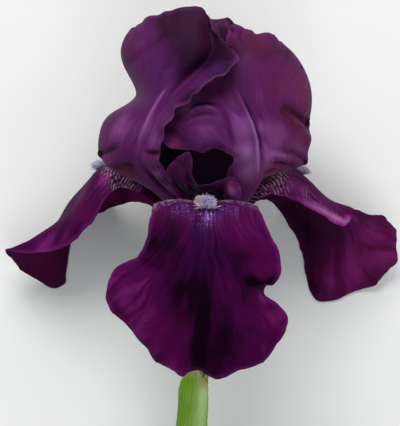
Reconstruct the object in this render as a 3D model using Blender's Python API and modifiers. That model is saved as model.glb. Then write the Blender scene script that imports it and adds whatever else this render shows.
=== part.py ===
"""A bearded iris flower, cut with a length of its stem and laid on its back.

Metres, +Z up. The flower's head points along +Y and its front fall faces up. It rests on the far
margins of its two side falls and on the cut end of its stem. The origin is at the bottom centre of
its bounding box.

Cages of the tepals are in millimetres, measured from the junction where the tepals meet the
perianth tube: x to the right, y towards the head, z up.
"""

import math

import bpy
import numpy as np
from mathutils import Euler, Matrix, Vector

MM = 0.001

# Driving dimensions, in millimetres and degrees.
HEAD_TILT = 14.0  # the flower's own axis above the surface that it lies on
STEM_LEAN = 4.0  # the stem's lean to the left of the flower's axis
FLOOR_DEPTH = 45.0  # the junction's height above the surface
TEPAL_THICKNESS = 0.6
SEAT_GAP = 0.3  # between pieces that touch
CLAW_RING_RADIUS = 6.0  # where the six claws stand on the perianth tube
CLAW_HALF_ANGLE = 24.0
CLAW_BASE_HEIGHT = 0.8
STEM_RADIUS = 4.2
TUBE_LENGTH = 30.0
TUBE_RADIUS = 3.4
TUBE_MOUTH_RADIUS = 7.2
OVARY_LENGTH = 27.0
OVARY_RADIUS = 4.0
SPATHE_THICKNESS = 0.5
COLUMN_RADIUS = 2.4
COLUMN_HEIGHT = 8.0
STYLE_THICKNESS = 0.8
BEARD_RADIUS = 2.6
BEARD_POINTS = 9
BEARD_SWELL = (0.18, 0.74)  # the part of a half sine wave that a beard's girth follows
BEARD_SPANS = {"front": (0.20, 0.405), "right": (0.22, 0.352), "left": (0.25, 0.388)}  # along each fall
FLOOR_SOFTNESS = 1.0  # how gently a fall bends where it meets the surface

# Around the flower's axis, from its front, in degrees.
FALL_AZIMUTHS = {"front": 0.0, "right": 120.0, "left": -120.0}
STANDARD_AZIMUTHS = {"left": -60.0, "right": 60.0, "back": 180.0}

# Faces across and along each kind of sheet.
TEPAL_GRID = (14, 20)
STYLE_GRID = (8, 14)
SPATHE_GRID = (14, 8)

COLOURS = {
    "fall": (0.070, 0.006, 0.072, 1.0),
    "standard": (0.105, 0.022, 0.100, 1.0),
    "style": (0.090, 0.018, 0.085, 1.0),
    "beard": (0.620, 0.580, 0.700, 1.0),
    "filament": (0.420, 0.330, 0.460, 1.0),
    "anther": (0.600, 0.530, 0.400, 1.0),
    "tube": (0.180, 0.240, 0.090, 1.0),
    "ovary": (0.160, 0.270, 0.060, 1.0),
    "spathe": (0.360, 0.380, 0.170, 1.0),
    "stem": (0.190, 0.300, 0.070, 1.0),
}

# The flower's own axes in the laid-down frame: along its axis, out through the front fall, and right.
TILT = math.radians(HEAD_TILT)
AXIS = np.array((0.0, math.cos(TILT), math.sin(TILT)))
FRONT = np.array((0.0, -math.sin(TILT), math.cos(TILT)))
RIGHT = np.array((1.0, 0.0, 0.0))

# Each fall: rows from the claw to the tip, each row its left margin, midrib and right margin as seen
# from outside with the tip down, then how far the left and right halves bow out between them.
FRONT_FALL = [
    ((-6.5, 4.5, 11.0), (0.0, 2.0, 12.0), (6.5, 4.5, 11.0), -0.6, -0.6),
    ((-11.0, 9.0, 21.5), (0.0, 6.0, 22.8), (11.0, 9.0, 21.5), -0.8, -0.8),
    ((-16.5, 11.0, 32.5), (0.0, 9.8, 34.8), (16.0, 11.0, 32.5), 0.6, 0.6),
    ((-19.4, 10.8, 41.5), (0.0, 11.8, 44.8), (18.6, 10.6, 41.5), 1.6, 1.4),
    ((-20.6, 3.6, 47.5), (0.4, 7.0, 50.5), (22.0, 4.2, 46.5), 1.8, 1.6),
    ((-24.0, -6.8, 49.0), (0.6, -3.0, 54.0), (27.0, -6.0, 47.5), 1.6, 1.8),
    ((-32.2, -11.6, 46.0), (0.8, -14.0, 54.6), (26.8, -15.6, 48.0), 1.4, 1.6),
    ((-36.0, -18.8, 44.5), (0.9, -24.5, 52.8), (23.2, -22.2, 45.0), 1.2, 1.4),
    ((-35.6, -26.2, 43.0), (0.6, -34.5, 49.0), (29.6, -28.4, 42.0), 1.0, 1.2),
    ((-27.6, -34.8, 41.0), (-0.6, -43.5, 44.5), (28.6, -37.4, 40.5), 1.2, 1.4),
    ((-17.6, -46.6, 38.5), (-2.4, -50.4, 40.0), (21.6, -46.8, 37.5), 3.2, 2.6),
]
RIGHT_FALL = [
    ((12.5, 5.5, 1.5), (11.0, 9.5, -5.5), (8.5, 2.5, -13.0), 0.8, 1.0),
    ((21.0, 14.2, 2.0), (20.5, 18.5, -10.0), (20.0, 12.8, -27.0), 2.0, 2.6),
    ((30.5, 13.8, -2.0), (32.6, 24.0, -17.0), (28.6, 8.0, -46.5), 3.4, 5.0),
    ((43.3, 7.4, -7.0), (42.5, 14.6, -21.5), (35.0, -3.0, -48.0), 3.0, 5.0),
    ((51.6, 3.0, -13.0), (52.0, 9.8, -25.0), (38.0, -15.5, -48.5), 2.0, 3.6),
    ((55.0, 8.2, -18.0), (56.5, 5.6, -28.5), (40.2, -22.8, -47.5), 1.0, 2.6),
    ((60.5, 8.0, -22.5), (61.0, -2.0, -31.0), (45.4, -25.0, -46.5), 0.6, 2.0),
    ((65.2, 7.0, -26.0), (66.0, -6.5, -33.5), (54.0, -22.0, -45.5), 0.8, 1.2),
    ((71.2, 2.0, -31.0), (71.8, -9.5, -36.0), (64.0, -18.6, -42.0), 0.8, 0.8),
]
LEFT_FALL = [
    ((-8.5, 2.5, -13.0), (-11.0, 9.5, -5.5), (-12.5, 5.5, 1.5), 1.0, 0.8),
    ((-21.0, 11.2, -25.0), (-21.0, 20.0, -10.0), (-22.5, 14.6, 2.0), 2.4, 1.8),
    ((-33.0, 10.8, -43.5), (-36.8, 25.4, -17.0), (-33.0, 16.6, -2.5), 4.4, 2.6),
    ((-40.2, 8.0, -48.0), (-44.8, 17.6, -21.0), (-39.4, 8.8, -5.5), 4.4, 2.6),
    ((-48.4, 2.2, -48.0), (-52.0, 7.8, -24.5), (-44.8, 1.8, -8.5), 3.8, 2.4),
    ((-53.0, -17.4, -47.5), (-59.2, 1.2, -27.0), (-52.0, -4.2, -14.5), 2.8, 1.8),
    ((-60.8, -17.6, -45.0), (-66.8, -3.4, -29.0), (-60.2, -6.4, -20.5), 1.6, 1.0),
    ((-69.0, -13.0, -39.5), (-74.2, -5.9, -32.0), (-70.0, -6.6, -27.5), 0.6, 0.4),
]

# Each standard: rows from the claw to the top, each row from its left margin to its right margin as
# seen from outside.
LEFT_STANDARD = [
    ((-15.5, 16.5, 6.5), (-17.5, 16.0, 8.0), (-18.2, 15.5, 10.0), (-16.5, 15.0, 12.0), (-14.0, 15.0, 13.5),
     (-11.5, 15.0, 15.0), (-9.0, 15.5, 15.5)),
    ((-33.4, 26.5, 4.0), (-35.6, 25.2, 9.0), (-31.0, 25.4, 15.5), (-25.5, 26.0, 18.5), (-22.4, 26.0, 20.5),
     (-18.8, 26.0, 22.0), (-15.9, 25.5, 22.5)),
    ((-34.2, 37.8, -7.0), (-38.8, 37.3, 6.0), (-32.0, 36.0, 19.0), (-24.0, 34.5, 24.0), (-21.5, 34.2, 25.0),
     (-18.6, 34.0, 27.5), (-16.0, 34.0, 30.0)),
    ((-28.0, 46.5, -12.0), (-33.6, 45.6, 4.0), (-26.5, 45.0, 20.0), (-19.5, 44.5, 26.6), (-16.5, 44.5, 27.8),
     (-14.0, 44.5, 31.0), (-11.5, 44.0, 35.0)),
    ((-23.8, 53.0, -7.0), (-25.2, 51.2, 5.0), (-21.5, 51.5, 20.0), (-15.0, 52.0, 27.9), (-11.5, 52.0, 28.2),
     (-8.5, 51.5, 32.0), (-4.0, 51.5, 38.0)),
    ((-24.5, 61.0, -6.0), (-28.8, 61.0, 6.0), (-21.0, 61.0, 22.0), (-8.5, 61.0, 29.0), (-3.0, 60.5, 26.0),
     (3.0, 60.5, 32.0), (9.5, 61.5, 39.0)),
    ((-25.0, 70.0, -4.0), (-30.2, 69.6, 8.0), (-20.0, 71.5, 22.0), (-2.5, 71.5, 28.0), (3.0, 70.0, 25.5),
     (7.5, 68.5, 30.0), (11.8, 66.6, 34.0)),
    ((-23.6, 76.0, 4.0), (-26.4, 76.6, 9.0), (-19.0, 80.6, 16.0), (-9.6, 83.6, 21.0), (-2.0, 84.2, 23.0),
     (1.0, 80.6, 25.4), (2.8, 75.4, 27.6)),
]
RIGHT_STANDARD = [
    ((9.0, 14.0, 13.2), (11.0, 14.0, 14.0), (13.6, 14.0, 13.8), (16.2, 14.0, 12.5), (17.6, 15.0, 10.5),
     (17.5, 16.0, 8.5), (15.5, 17.0, 7.0)),
    ((8.0, 21.5, 19.5), (11.6, 22.0, 20.2), (15.8, 22.0, 19.0), (19.8, 21.5, 16.0), (21.5, 21.5, 12.0),
     (22.5, 22.0, 8.0), (20.5, 24.0, 4.0)),
    ((9.8, 26.4, 24.8), (12.4, 27.2, 25.2), (16.2, 27.5, 23.8), (20.2, 27.0, 20.8), (27.4, 25.4, 16.8),
     (35.4, 25.6, 8.0), (32.5, 27.6, 2.4)),
    ((6.8, 31.0, 29.8), (11.0, 30.6, 29.4), (15.2, 31.0, 27.2), (20.0, 31.4, 23.4), (28.8, 30.2, 17.8),
     (37.8, 30.0, 7.6), (33.2, 31.8, -2.4)),
    ((-12.8, 32.4, 27.8), (-0.5, 34.6, 33.0), (9.4, 35.2, 31.5), (18.4, 36.0, 26.2), (29.0, 35.4, 19.2),
     (39.0, 35.2, 7.0), (32.5, 36.8, -7.4)),
    ((-15.4, 42.0, 24.6), (-5.0, 43.0, 31.0), (6.6, 43.5, 32.5), (16.4, 42.5, 29.0), (28.5, 42.5, 20.0),
     (38.4, 41.5, 6.0), (30.5, 43.0, -12.0)),
    ((-9.0, 53.0, 21.5), (-1.0, 54.0, 24.5), (5.0, 54.5, 27.0), (10.8, 53.5, 28.0), (27.0, 53.5, 21.0),
     (39.2, 52.0, 6.0), (31.5, 53.0, -11.0)),
    ((5.5, 65.0, 18.5), (7.0, 65.0, 19.8), (9.0, 65.0, 21.2), (12.5, 65.0, 23.0), (23.0, 65.5, 21.0),
     (34.8, 64.0, 8.0), (28.5, 63.5, -6.0)),
    ((8.0, 76.8, 17.0), (10.6, 77.6, 17.4), (13.8, 77.0, 17.6), (17.5, 75.4, 17.0), (22.2, 74.2, 15.0),
     (28.9, 71.6, 9.0), (26.5, 69.5, 0.0)),
]
# The back standard is even enough to state by half-widths: at each row the y and z of its middle, its
# half-width, and how far its margins come forward.
BACK_STANDARD = [
    (15.0, -13.0, 8.0, 4.5),
    (26.0, -23.0, 18.5, 8.0),
    (38.0, -27.5, 24.0, 13.0),
    (50.0, -26.0, 25.0, 18.0),
    (61.0, -15.5, 21.5, 16.0),
    (71.5, -0.5, 12.8, 9.0),
    (80.0, 7.5, 5.8, 4.0),
]
BACK_STANDARD_TIP_SHIFT = 4.5
BACK_STANDARD_WRAP = 1.4  # how round its cross-section is, in radians from its middle to a margin

# A style arm, in its own directions: rows of across, outwards and up the flower's axis. Its far end
# parts into two crests.
STYLE_ARM = [
    ((-1.6, 1.5, 8.8), (-0.9, 2.3, 9.0), (0.0, 2.6, 9.1), (0.9, 2.3, 9.0), (1.6, 1.5, 8.8)),
    ((-3.6, 8.6, 13.6), (-2.0, 8.2, 15.2), (0.0, 8.0, 15.8), (2.0, 8.2, 15.2), (3.6, 8.6, 13.6)),
    ((-5.6, 18.0, 18.6), (-3.2, 17.4, 21.2), (0.0, 17.2, 22.2), (3.2, 17.4, 21.2), (5.6, 18.0, 18.6)),
    ((-6.8, 25.0, 22.4), (-3.8, 25.0, 24.2), (0.0, 25.0, 24.6), (3.8, 25.0, 24.2), (6.8, 25.0, 22.4)),
    ((-8.2, 28.2, 28.0), (-4.6, 28.6, 28.6), (0.0, 27.2, 26.0), (4.6, 28.6, 28.6), (8.2, 28.2, 28.0)),
    ((-8.6, 27.0, 33.0), (-5.4, 27.6, 34.6), (0.0, 28.2, 27.0), (5.4, 27.6, 34.6), (8.6, 27.0, 33.0)),
]
# The front arm's crests are uneven: the left one is broad and high, the right one low and forward.
FRONT_STYLE_ARM = [
    STYLE_ARM[0],
    ((-4.6, 8.6, 13.2), (-2.6, 8.2, 15.0), (0.0, 8.0, 15.4), (2.4, 8.2, 15.0), (4.2, 8.6, 13.2)),
    ((-8.0, 14.6, 17.2), (-4.6, 15.2, 19.2), (-0.4, 15.8, 18.8), (3.6, 16.8, 19.2), (6.8, 18.0, 16.8)),
    ((-11.6, 18.2, 21.6), (-6.8, 19.2, 23.4), (-1.2, 20.0, 21.8), (4.8, 22.4, 22.2), (9.4, 23.4, 18.0)),
    ((-14.0, 19.6, 26.4), (-7.6, 20.6, 28.4), (-2.0, 22.2, 23.0), (6.2, 25.2, 24.4), (12.4, 26.2, 19.6)),
    ((-13.8, 20.0, 30.6), (-6.6, 21.4, 33.0), (-2.8, 23.4, 24.4), (7.2, 26.6, 26.8), (13.4, 27.2, 22.4)),
    ((-10.8, 20.2, 33.8), (-5.2, 21.8, 36.0), (-3.4, 24.0, 25.6), (8.2, 27.2, 28.4), (12.2, 27.4, 25.4)),
]

# A stamen's filament and anther: places outwards and up from the junction, each with its radius.
FILAMENT = [(4.1, 0.8, 0.8), (5.0, 4.5, 0.8), (8.0, 9.5, 0.7), (12.0, 13.4, 0.5)]
ANTHER = [(12.5, 14.0, 0.5), (13.6, 15.0, 1.1), (17.0, 17.3, 1.3), (20.8, 19.3, 1.1), (22.2, 19.9, 0.4)]

# The perianth tube: depths below the junction, down the flower's axis and then down the leaning stalk,
# each with its radius.
TUBE_MOUTH = [(0.0, TUBE_MOUTH_RADIUS - 0.6), (0.6, TUBE_MOUTH_RADIUS), (4.0, TUBE_MOUTH_RADIUS * 0.8)]
TUBE_THROAT = [(11.0, TUBE_RADIUS * 1.15), (19.0, TUBE_RADIUS), (TUBE_LENGTH, TUBE_RADIUS)]

# The bracts round the stalk: where each is centred, half the angle that it covers, the height of its
# tip from the junction, how far below the ovary it starts, and how blunt its tip is.
INNER_SPATHE = (62.0, 122.0, -40.0, 12.0, 3)
OUTER_SPATHE = (262.0, 92.0, -50.0, 22.0, 4)
SPATHE_ROWS = 7
SPATHE_TAPER = 0.86  # the share of its width that a bract loses at its tip
SPATHE_SWELL = 6.0  # how quickly a bract widens above its foot


def reset_scene():
    for thing in list(bpy.data.objects):
        bpy.data.objects.remove(thing, do_unlink=True)


def material(name, colour, roughness=0.6):
    made = bpy.data.materials.new(name)
    made.use_nodes = True
    shader = made.node_tree.nodes["Principled BSDF"]
    shader.inputs["Base Color"].default_value = colour
    shader.inputs["Roughness"].default_value = roughness
    shader.inputs["Metallic"].default_value = 0.0
    return made


def adopt(thing, name, kind, collection, parent):
    """Names a new object, gives it a material and moves it to the flower's collection."""
    thing.name = name
    thing.data.name = name
    thing.data.materials.append(material(name, COLOURS[kind]))
    for old in list(thing.users_collection):
        old.objects.unlink(thing)
    collection.objects.link(thing)
    thing.parent = parent
    return thing


def around_axis(azimuth, across, outwards, up):
    """A point given by its place across, outwards and up, at an angle around the flower's axis."""
    turn = math.radians(azimuth)
    outward = math.sin(turn) * RIGHT + math.cos(turn) * FRONT
    sideways = math.cos(turn) * RIGHT - math.sin(turn) * FRONT
    return across * sideways + outwards * outward + up * AXIS


def claw_base(azimuth, count):
    """The row of points where a claw stands on the perianth tube."""
    angles = np.linspace(-CLAW_HALF_ANGLE, CLAW_HALF_ANGLE, count)
    return [around_axis(azimuth + a, 0.0, CLAW_RING_RADIUS, CLAW_BASE_HEIGHT) for a in angles]


def natural_spline(values, samples):
    """Values at even steps, read between the steps along a natural cubic spline."""
    values = np.asarray(values, dtype=float)
    count = len(values)
    system = np.eye(count)
    right = np.zeros_like(values)
    for i in range(1, count - 1):
        system[i, i - 1 : i + 2] = (1.0, 4.0, 1.0)
        right[i] = 6.0 * (values[i - 1] - 2.0 * values[i] + values[i + 1])
    bend = np.linalg.solve(system, right.reshape(count, -1)).reshape(values.shape)
    place = np.clip(np.asarray(samples), 0.0, 1.0) * (count - 1)
    low = np.minimum(place.astype(int), count - 2)
    b = (place - low).reshape((-1,) + (1,) * (values.ndim - 1))
    a = 1.0 - b
    curve = (a**3 - a) * bend[low] + (b**3 - b) * bend[low + 1]
    return a * values[low] + b * values[low + 1] + curve / 6.0


def sheet(cage, across, along):
    """A smooth surface through every point of a cage, as an array of along x across points."""
    rows = natural_spline(np.asarray(cage, dtype=float), along)
    return np.swapaxes(natural_spline(np.swapaxes(rows, 0, 1), across), 0, 1)


def bowed_rows(rows, base):
    """A cage of five points a row, from rows of margin, midrib and margin with two bows."""
    left, middle, right = (np.array([row[i] for row in rows]) for i in range(3))
    left, middle, right = (
        np.vstack([base[i], points]) for i, points in ((0, left), (2, middle), (4, right))
    )
    bows = np.array([(0.3, 0.3)] + [row[3:5] for row in rows])
    cage = []
    for i in range(len(middle)):
        ahead = middle[min(i + 1, len(middle) - 1)] - middle[max(i - 1, 0)]
        row = [left[i]]
        for start, end, bow in ((left[i], middle[i], bows[i][0]), (middle[i], right[i], bows[i][1])):
            away = np.cross(ahead, end - start)
            away /= np.linalg.norm(away)
            row += [(start + end) / 2.0 + bow * away, end]
        cage.append(row)
    return cage


def back_standard_rows():
    """Rows of seven points across the back standard, bowed towards the back."""
    cage = []
    across = np.linspace(1.0, -1.0, 7)
    sides = np.sin(across * BACK_STANDARD_WRAP) / math.sin(BACK_STANDARD_WRAP)
    for i, (y, z, half_width, forward) in enumerate(BACK_STANDARD):
        shift = BACK_STANDARD_TIP_SHIFT * i / (len(BACK_STANDARD) - 1)
        cage.append([(shift + half_width * side, y, z + forward * s * s) for s, side in zip(across, sides)])
    return cage


def rest_on_floor(points):
    """Points that would reach below the surface bend softly to lie along it."""
    lowest = -FLOOR_DEPTH + TEPAL_THICKNESS / 2.0
    points = points.copy()
    height = (points[..., 2] - lowest) / FLOOR_SOFTNESS
    points[..., 2] = lowest + FLOOR_SOFTNESS * np.logaddexp(0.0, height)
    return points


def fall_cages():
    rows = {"front": FRONT_FALL, "right": RIGHT_FALL, "left": LEFT_FALL}
    return {side: bowed_rows(rows[side], claw_base(azimuth, 5)) for side, azimuth in FALL_AZIMUTHS.items()}


def standard_cages():
    rows = {"left": LEFT_STANDARD, "right": RIGHT_STANDARD, "back": back_standard_rows()}
    return {side: [claw_base(azimuth, 7)] + rows[side] for side, azimuth in STANDARD_AZIMUTHS.items()}


def add_sheet(name, kind, cage, collection, parent, grid=TEPAL_GRID, thickness=TEPAL_THICKNESS,
              shape=None):
    """A tepal, style arm or bract: a grid shaped by its cage, thickened by Solidify."""
    across, along = grid
    bpy.ops.mesh.primitive_grid_add(x_subdivisions=across, y_subdivisions=along, size=2.0)
    thing = bpy.context.object
    places = sheet(cage, np.linspace(0, 1, across + 1), np.linspace(0, 1, along + 1))
    if shape:
        places = shape(places)
    for vertex in thing.data.vertices:
        u = round((vertex.co.x + 1.0) / 2.0 * across)
        v = round((vertex.co.y + 1.0) / 2.0 * along)
        vertex.co = Vector(places[v, u]) * MM
    thing.data.shade_smooth()
    shell = thing.modifiers.new("thickness", "SOLIDIFY")
    shell.thickness = thickness * MM
    shell.offset = 0.0
    return adopt(thing, name, kind, collection, parent)


def add_tube(name, kind, points, radii, collection, parent, resolution=2):
    """A tapering rod along a line of points, as a bevelled curve with closed ends."""
    data = bpy.data.curves.new(name, "CURVE")
    data.dimensions = "3D"
    data.bevel_depth = MM
    data.bevel_resolution = resolution
    data.render_resolution_u = 0
    data.use_fill_caps = True
    spline = data.splines.new("POLY")
    spline.points.add(len(points) - 1)
    for made, place, radius in zip(spline.points, points, radii):
        made.co = (*(Vector(place) * MM), 1.0)
        made.radius = radius
    thing = bpy.data.objects.new(name, data)
    collection.objects.link(thing)
    return adopt(thing, name, kind, collection, parent)


def add_turned(name, kind, profile, collection, parent, steps=20):
    """A turned solid: a profile of radius and height, from its top to its bottom, with a Screw."""
    mesh = bpy.data.meshes.new(name)
    points = [(radius * MM, 0.0, height * MM) for radius, height in profile]
    mesh.from_pydata(points, [(i, i + 1) for i in range(len(points) - 1)], [])
    thing = bpy.data.objects.new(name, mesh)
    collection.objects.link(thing)
    screw = thing.modifiers.new("turn", "SCREW")
    screw.steps = steps
    screw.render_steps = steps
    screw.use_merge_vertices = True
    screw.merge_threshold = 0.00001
    screw.use_normal_calculate = False
    return adopt(thing, name, kind, collection, parent)


def beard_line(cage, start, end, count, clearance):
    """Points over a fall's midrib, a clearance above its inner face."""
    along = np.linspace(start, end, count)
    step = 0.01
    middle = sheet(cage, [0.5], along)[:, 0]
    across = sheet(cage, [0.5 + step], along)[:, 0] - sheet(cage, [0.5 - step], along)[:, 0]
    ahead = sheet(cage, [0.5], along + step)[:, 0] - sheet(cage, [0.5], along - step)[:, 0]
    out = np.cross(ahead, across)
    out /= np.linalg.norm(out, axis=1)[:, None]
    return middle + clearance * out


def add_falls(collection, parent):
    for side, cage in fall_cages().items():
        add_sheet("fall_" + side, "fall", cage, collection, parent, shape=rest_on_floor)
        clearance = TEPAL_THICKNESS / 2.0 + SEAT_GAP + BEARD_RADIUS
        line = beard_line(cage, *BEARD_SPANS[side], BEARD_POINTS, clearance)
        swell = np.sin(np.linspace(*BEARD_SWELL, BEARD_POINTS) * math.pi) ** 0.5
        add_tube("beard_" + side, "beard", line, BEARD_RADIUS * swell, collection, parent)


def add_standards(collection, parent):
    for side, cage in standard_cages().items():
        add_sheet("standard_" + side, "standard", cage, collection, parent)


def add_styles(collection, parent):
    column = add_turned(
        "style_column", "style",
        [(0.0, COLUMN_HEIGHT), (COLUMN_RADIUS * 0.8, COLUMN_HEIGHT), (COLUMN_RADIUS, COLUMN_HEIGHT - 0.8),
         (COLUMN_RADIUS, SEAT_GAP), (0.0, SEAT_GAP)],
        collection, parent, steps=16)
    column.rotation_euler = Euler((TILT - math.pi / 2.0, 0.0, 0.0))
    for side, azimuth in FALL_AZIMUTHS.items():
        rows = FRONT_STYLE_ARM if side == "front" else STYLE_ARM
        cage = [[around_axis(azimuth, *point) for point in row] for row in rows]
        add_sheet("style_arm_" + side, "style", cage, collection, parent, STYLE_GRID, STYLE_THICKNESS)


def add_stamens(collection, parent):
    """Under each style arm a filament rises from beside the column and carries a long anther."""
    for side, azimuth in FALL_AZIMUTHS.items():
        for kind, rod in (("filament", FILAMENT), ("anther", ANTHER)):
            line = [around_axis(azimuth, 0.0, outwards, up) for outwards, up, radius in rod]
            radii = [radius for outwards, up, radius in rod]
            add_tube(f"{kind}_{side}", kind, line, radii, collection, parent)


def add_stalk(collection, parent):
    """The perianth tube, ovary and stem, one below the other, and the two bracts that wrap them."""
    stalk = bpy.data.objects.new("stalk_axis", None)
    stalk.empty_display_size = 0.02
    collection.objects.link(stalk)
    stalk.parent = parent
    lean = Matrix.Rotation(math.radians(-STEM_LEAN), 3, "Z")
    turn = lean @ Matrix.Rotation(TILT - math.pi / 2.0, 3, "X")
    stalk.rotation_euler = turn.to_euler()
    upward = np.array(turn @ Vector((0.0, 0.0, 1.0)))
    ovary_top = -TUBE_LENGTH - SEAT_GAP
    ovary_end = ovary_top - OVARY_LENGTH
    stem_top = ovary_end - SEAT_GAP
    end_drop = math.cos(math.radians(STEM_LEAN)) * math.sin(TILT)
    stem_end = -(FLOOR_DEPTH - STEM_RADIUS * math.cos(TILT)) / end_drop
    line = [-depth * AXIS for depth, radius in TUBE_MOUTH]
    line += [-depth * upward for depth, radius in TUBE_THROAT]
    radii = [radius for depth, radius in TUBE_MOUTH + TUBE_THROAT]
    add_tube("perianth_tube", "tube", line, radii, collection, parent, resolution=4)
    add_turned(
        "ovary", "ovary",
        [(0.0, ovary_top), (TUBE_RADIUS, ovary_top), (OVARY_RADIUS * 0.93, ovary_top - 5.0),
         (OVARY_RADIUS, ovary_top - 12.0), (OVARY_RADIUS * 0.96, ovary_end + 5.0),
         (OVARY_RADIUS * 0.9, ovary_end), (0.0, ovary_end)],
        collection, stalk)
    add_turned(
        "stem", "stem",
        [(0.0, stem_top), (OVARY_RADIUS * 0.9, stem_top), (STEM_RADIUS * 0.97, stem_top - 9.0),
         (STEM_RADIUS * 0.96, stem_end * 0.72), (STEM_RADIUS, stem_end), (0.0, stem_end)],
        collection, stalk)
    inner = OVARY_RADIUS + 1.5 * SEAT_GAP + SPATHE_THICKNESS / 2.0
    outer = inner + 1.5 * SEAT_GAP + SPATHE_THICKNESS
    add_spathe("spathe_inner", *INNER_SPATHE, ovary_end, inner, collection, stalk)
    add_spathe("spathe_outer", *OUTER_SPATHE, ovary_end, outer, collection, stalk)


def add_spathe(name, azimuth, half_angle, tip, start, bluntness, ovary_end, radius, collection, parent):
    """A bract wrapped round the stalk: wide at its foot, narrowing to a tip above the ovary."""
    rows = []
    foot_radius = STEM_RADIUS + 1.35 * SEAT_GAP + SPATHE_THICKNESS / 2.0
    foot = ovary_end - start
    for t in np.linspace(0.0, 1.0, SPATHE_ROWS):
        height = foot + (tip - foot) * t
        spread = half_angle * (1.0 - SPATHE_TAPER * t**bluntness)
        girth = foot_radius + (radius - foot_radius) * min(1.0, t * SPATHE_SWELL)
        angles = [math.radians(azimuth + spread * s) for s in np.linspace(-1.0, 1.0, 7)]
        rows.append([(girth * math.cos(a), girth * math.sin(a), height) for a in angles])
    add_sheet(name, "spathe", rows, collection, parent, SPATHE_GRID, SPATHE_THICKNESS)


def stand_at_origin(root):
    """Moves the flower so that its bounding box's bottom centre is the origin."""
    bpy.context.view_layer.update()
    graph = bpy.context.evaluated_depsgraph_get()
    low = Vector((math.inf,) * 3)
    high = Vector((-math.inf,) * 3)
    for thing in bpy.data.objects:
        if thing.type == "EMPTY":
            continue
        seen = thing.evaluated_get(graph)
        mesh = seen.to_mesh()
        for vertex in mesh.vertices:
            place = thing.matrix_world @ vertex.co
            low = Vector(map(min, low, place))
            high = Vector(map(max, high, place))
        seen.to_mesh_clear()
    middle = (low + high) / 2.0
    root.location = (-middle.x, -middle.y, -low.z)
    bpy.context.view_layer.update()


def main():
    reset_scene()
    collection = bpy.data.collections.new("bearded_iris")
    bpy.context.scene.collection.children.link(collection)
    root = bpy.data.objects.new("iris_root", None)
    root.empty_display_size = 0.02
    collection.objects.link(root)
    add_falls(collection, root)
    add_standards(collection, root)
    add_styles(collection, root)
    add_stamens(collection, root)
    add_stalk(collection, root)
    stand_at_origin(root)


main()
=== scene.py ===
"""The looks of a bearded iris flower, cut with a length of its stem and laid on its back.

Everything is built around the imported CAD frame, in its axes: the flower's head points along +Y and its
front fall faces up. Places are in millimetres from the junction where the tepals meet the perianth
tube, x to the right, y towards the head and z up, and build() turns them into the frame's metres.
"""

import math

import bpy
import numpy as np
from mathutils import Matrix, Vector, kdtree, noise


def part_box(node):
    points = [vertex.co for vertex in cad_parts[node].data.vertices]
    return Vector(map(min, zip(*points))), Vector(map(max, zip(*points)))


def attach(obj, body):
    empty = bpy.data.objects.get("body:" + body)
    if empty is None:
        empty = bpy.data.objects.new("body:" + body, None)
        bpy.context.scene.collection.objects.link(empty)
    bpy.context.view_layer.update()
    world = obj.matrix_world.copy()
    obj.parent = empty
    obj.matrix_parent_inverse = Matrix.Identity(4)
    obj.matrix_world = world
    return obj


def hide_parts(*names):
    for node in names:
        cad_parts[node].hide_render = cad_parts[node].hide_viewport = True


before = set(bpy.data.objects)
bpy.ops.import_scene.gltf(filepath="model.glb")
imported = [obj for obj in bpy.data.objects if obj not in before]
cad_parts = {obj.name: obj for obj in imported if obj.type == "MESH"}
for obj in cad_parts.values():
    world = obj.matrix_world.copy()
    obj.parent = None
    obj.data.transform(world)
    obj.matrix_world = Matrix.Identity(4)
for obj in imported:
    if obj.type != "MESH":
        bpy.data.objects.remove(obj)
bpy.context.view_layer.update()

MM = 0.001
BODY = "root"

# The dimensions that the CAD model is driven by, in millimetres and degrees.
HEAD_TILT = 14.0
STEM_LEAN = 4.0
FLOOR_DEPTH = 45.0
TEPAL_THICKNESS = 0.6
SEAT_GAP = 0.3
CLAW_RING_RADIUS = 6.0
CLAW_HALF_ANGLE = 24.0
CLAW_BASE_HEIGHT = 0.8
STEM_RADIUS = 4.2
TUBE_LENGTH = 30.0
TUBE_RADIUS = 3.4
TUBE_MOUTH_RADIUS = 7.2
OVARY_LENGTH = 27.0
OVARY_RADIUS = 4.0
SPATHE_THICKNESS = 0.5
COLUMN_RADIUS = 2.4
COLUMN_HEIGHT = 8.0
STYLE_THICKNESS = 0.8
BEARD_SPANS = {"front": (0.20, 0.405), "right": (0.22, 0.352), "left": (0.25, 0.388)}
FALL_AZIMUTHS = {"front": 0.0, "right": 120.0, "left": -120.0}
STANDARD_AZIMUTHS = {"left": -60.0, "right": 60.0, "back": 180.0}

TILT = math.radians(HEAD_TILT)
AXIS = np.array((0.0, math.cos(TILT), math.sin(TILT)))
FRONT = np.array((0.0, -math.sin(TILT), math.cos(TILT)))
RIGHT = np.array((1.0, 0.0, 0.0))

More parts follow.
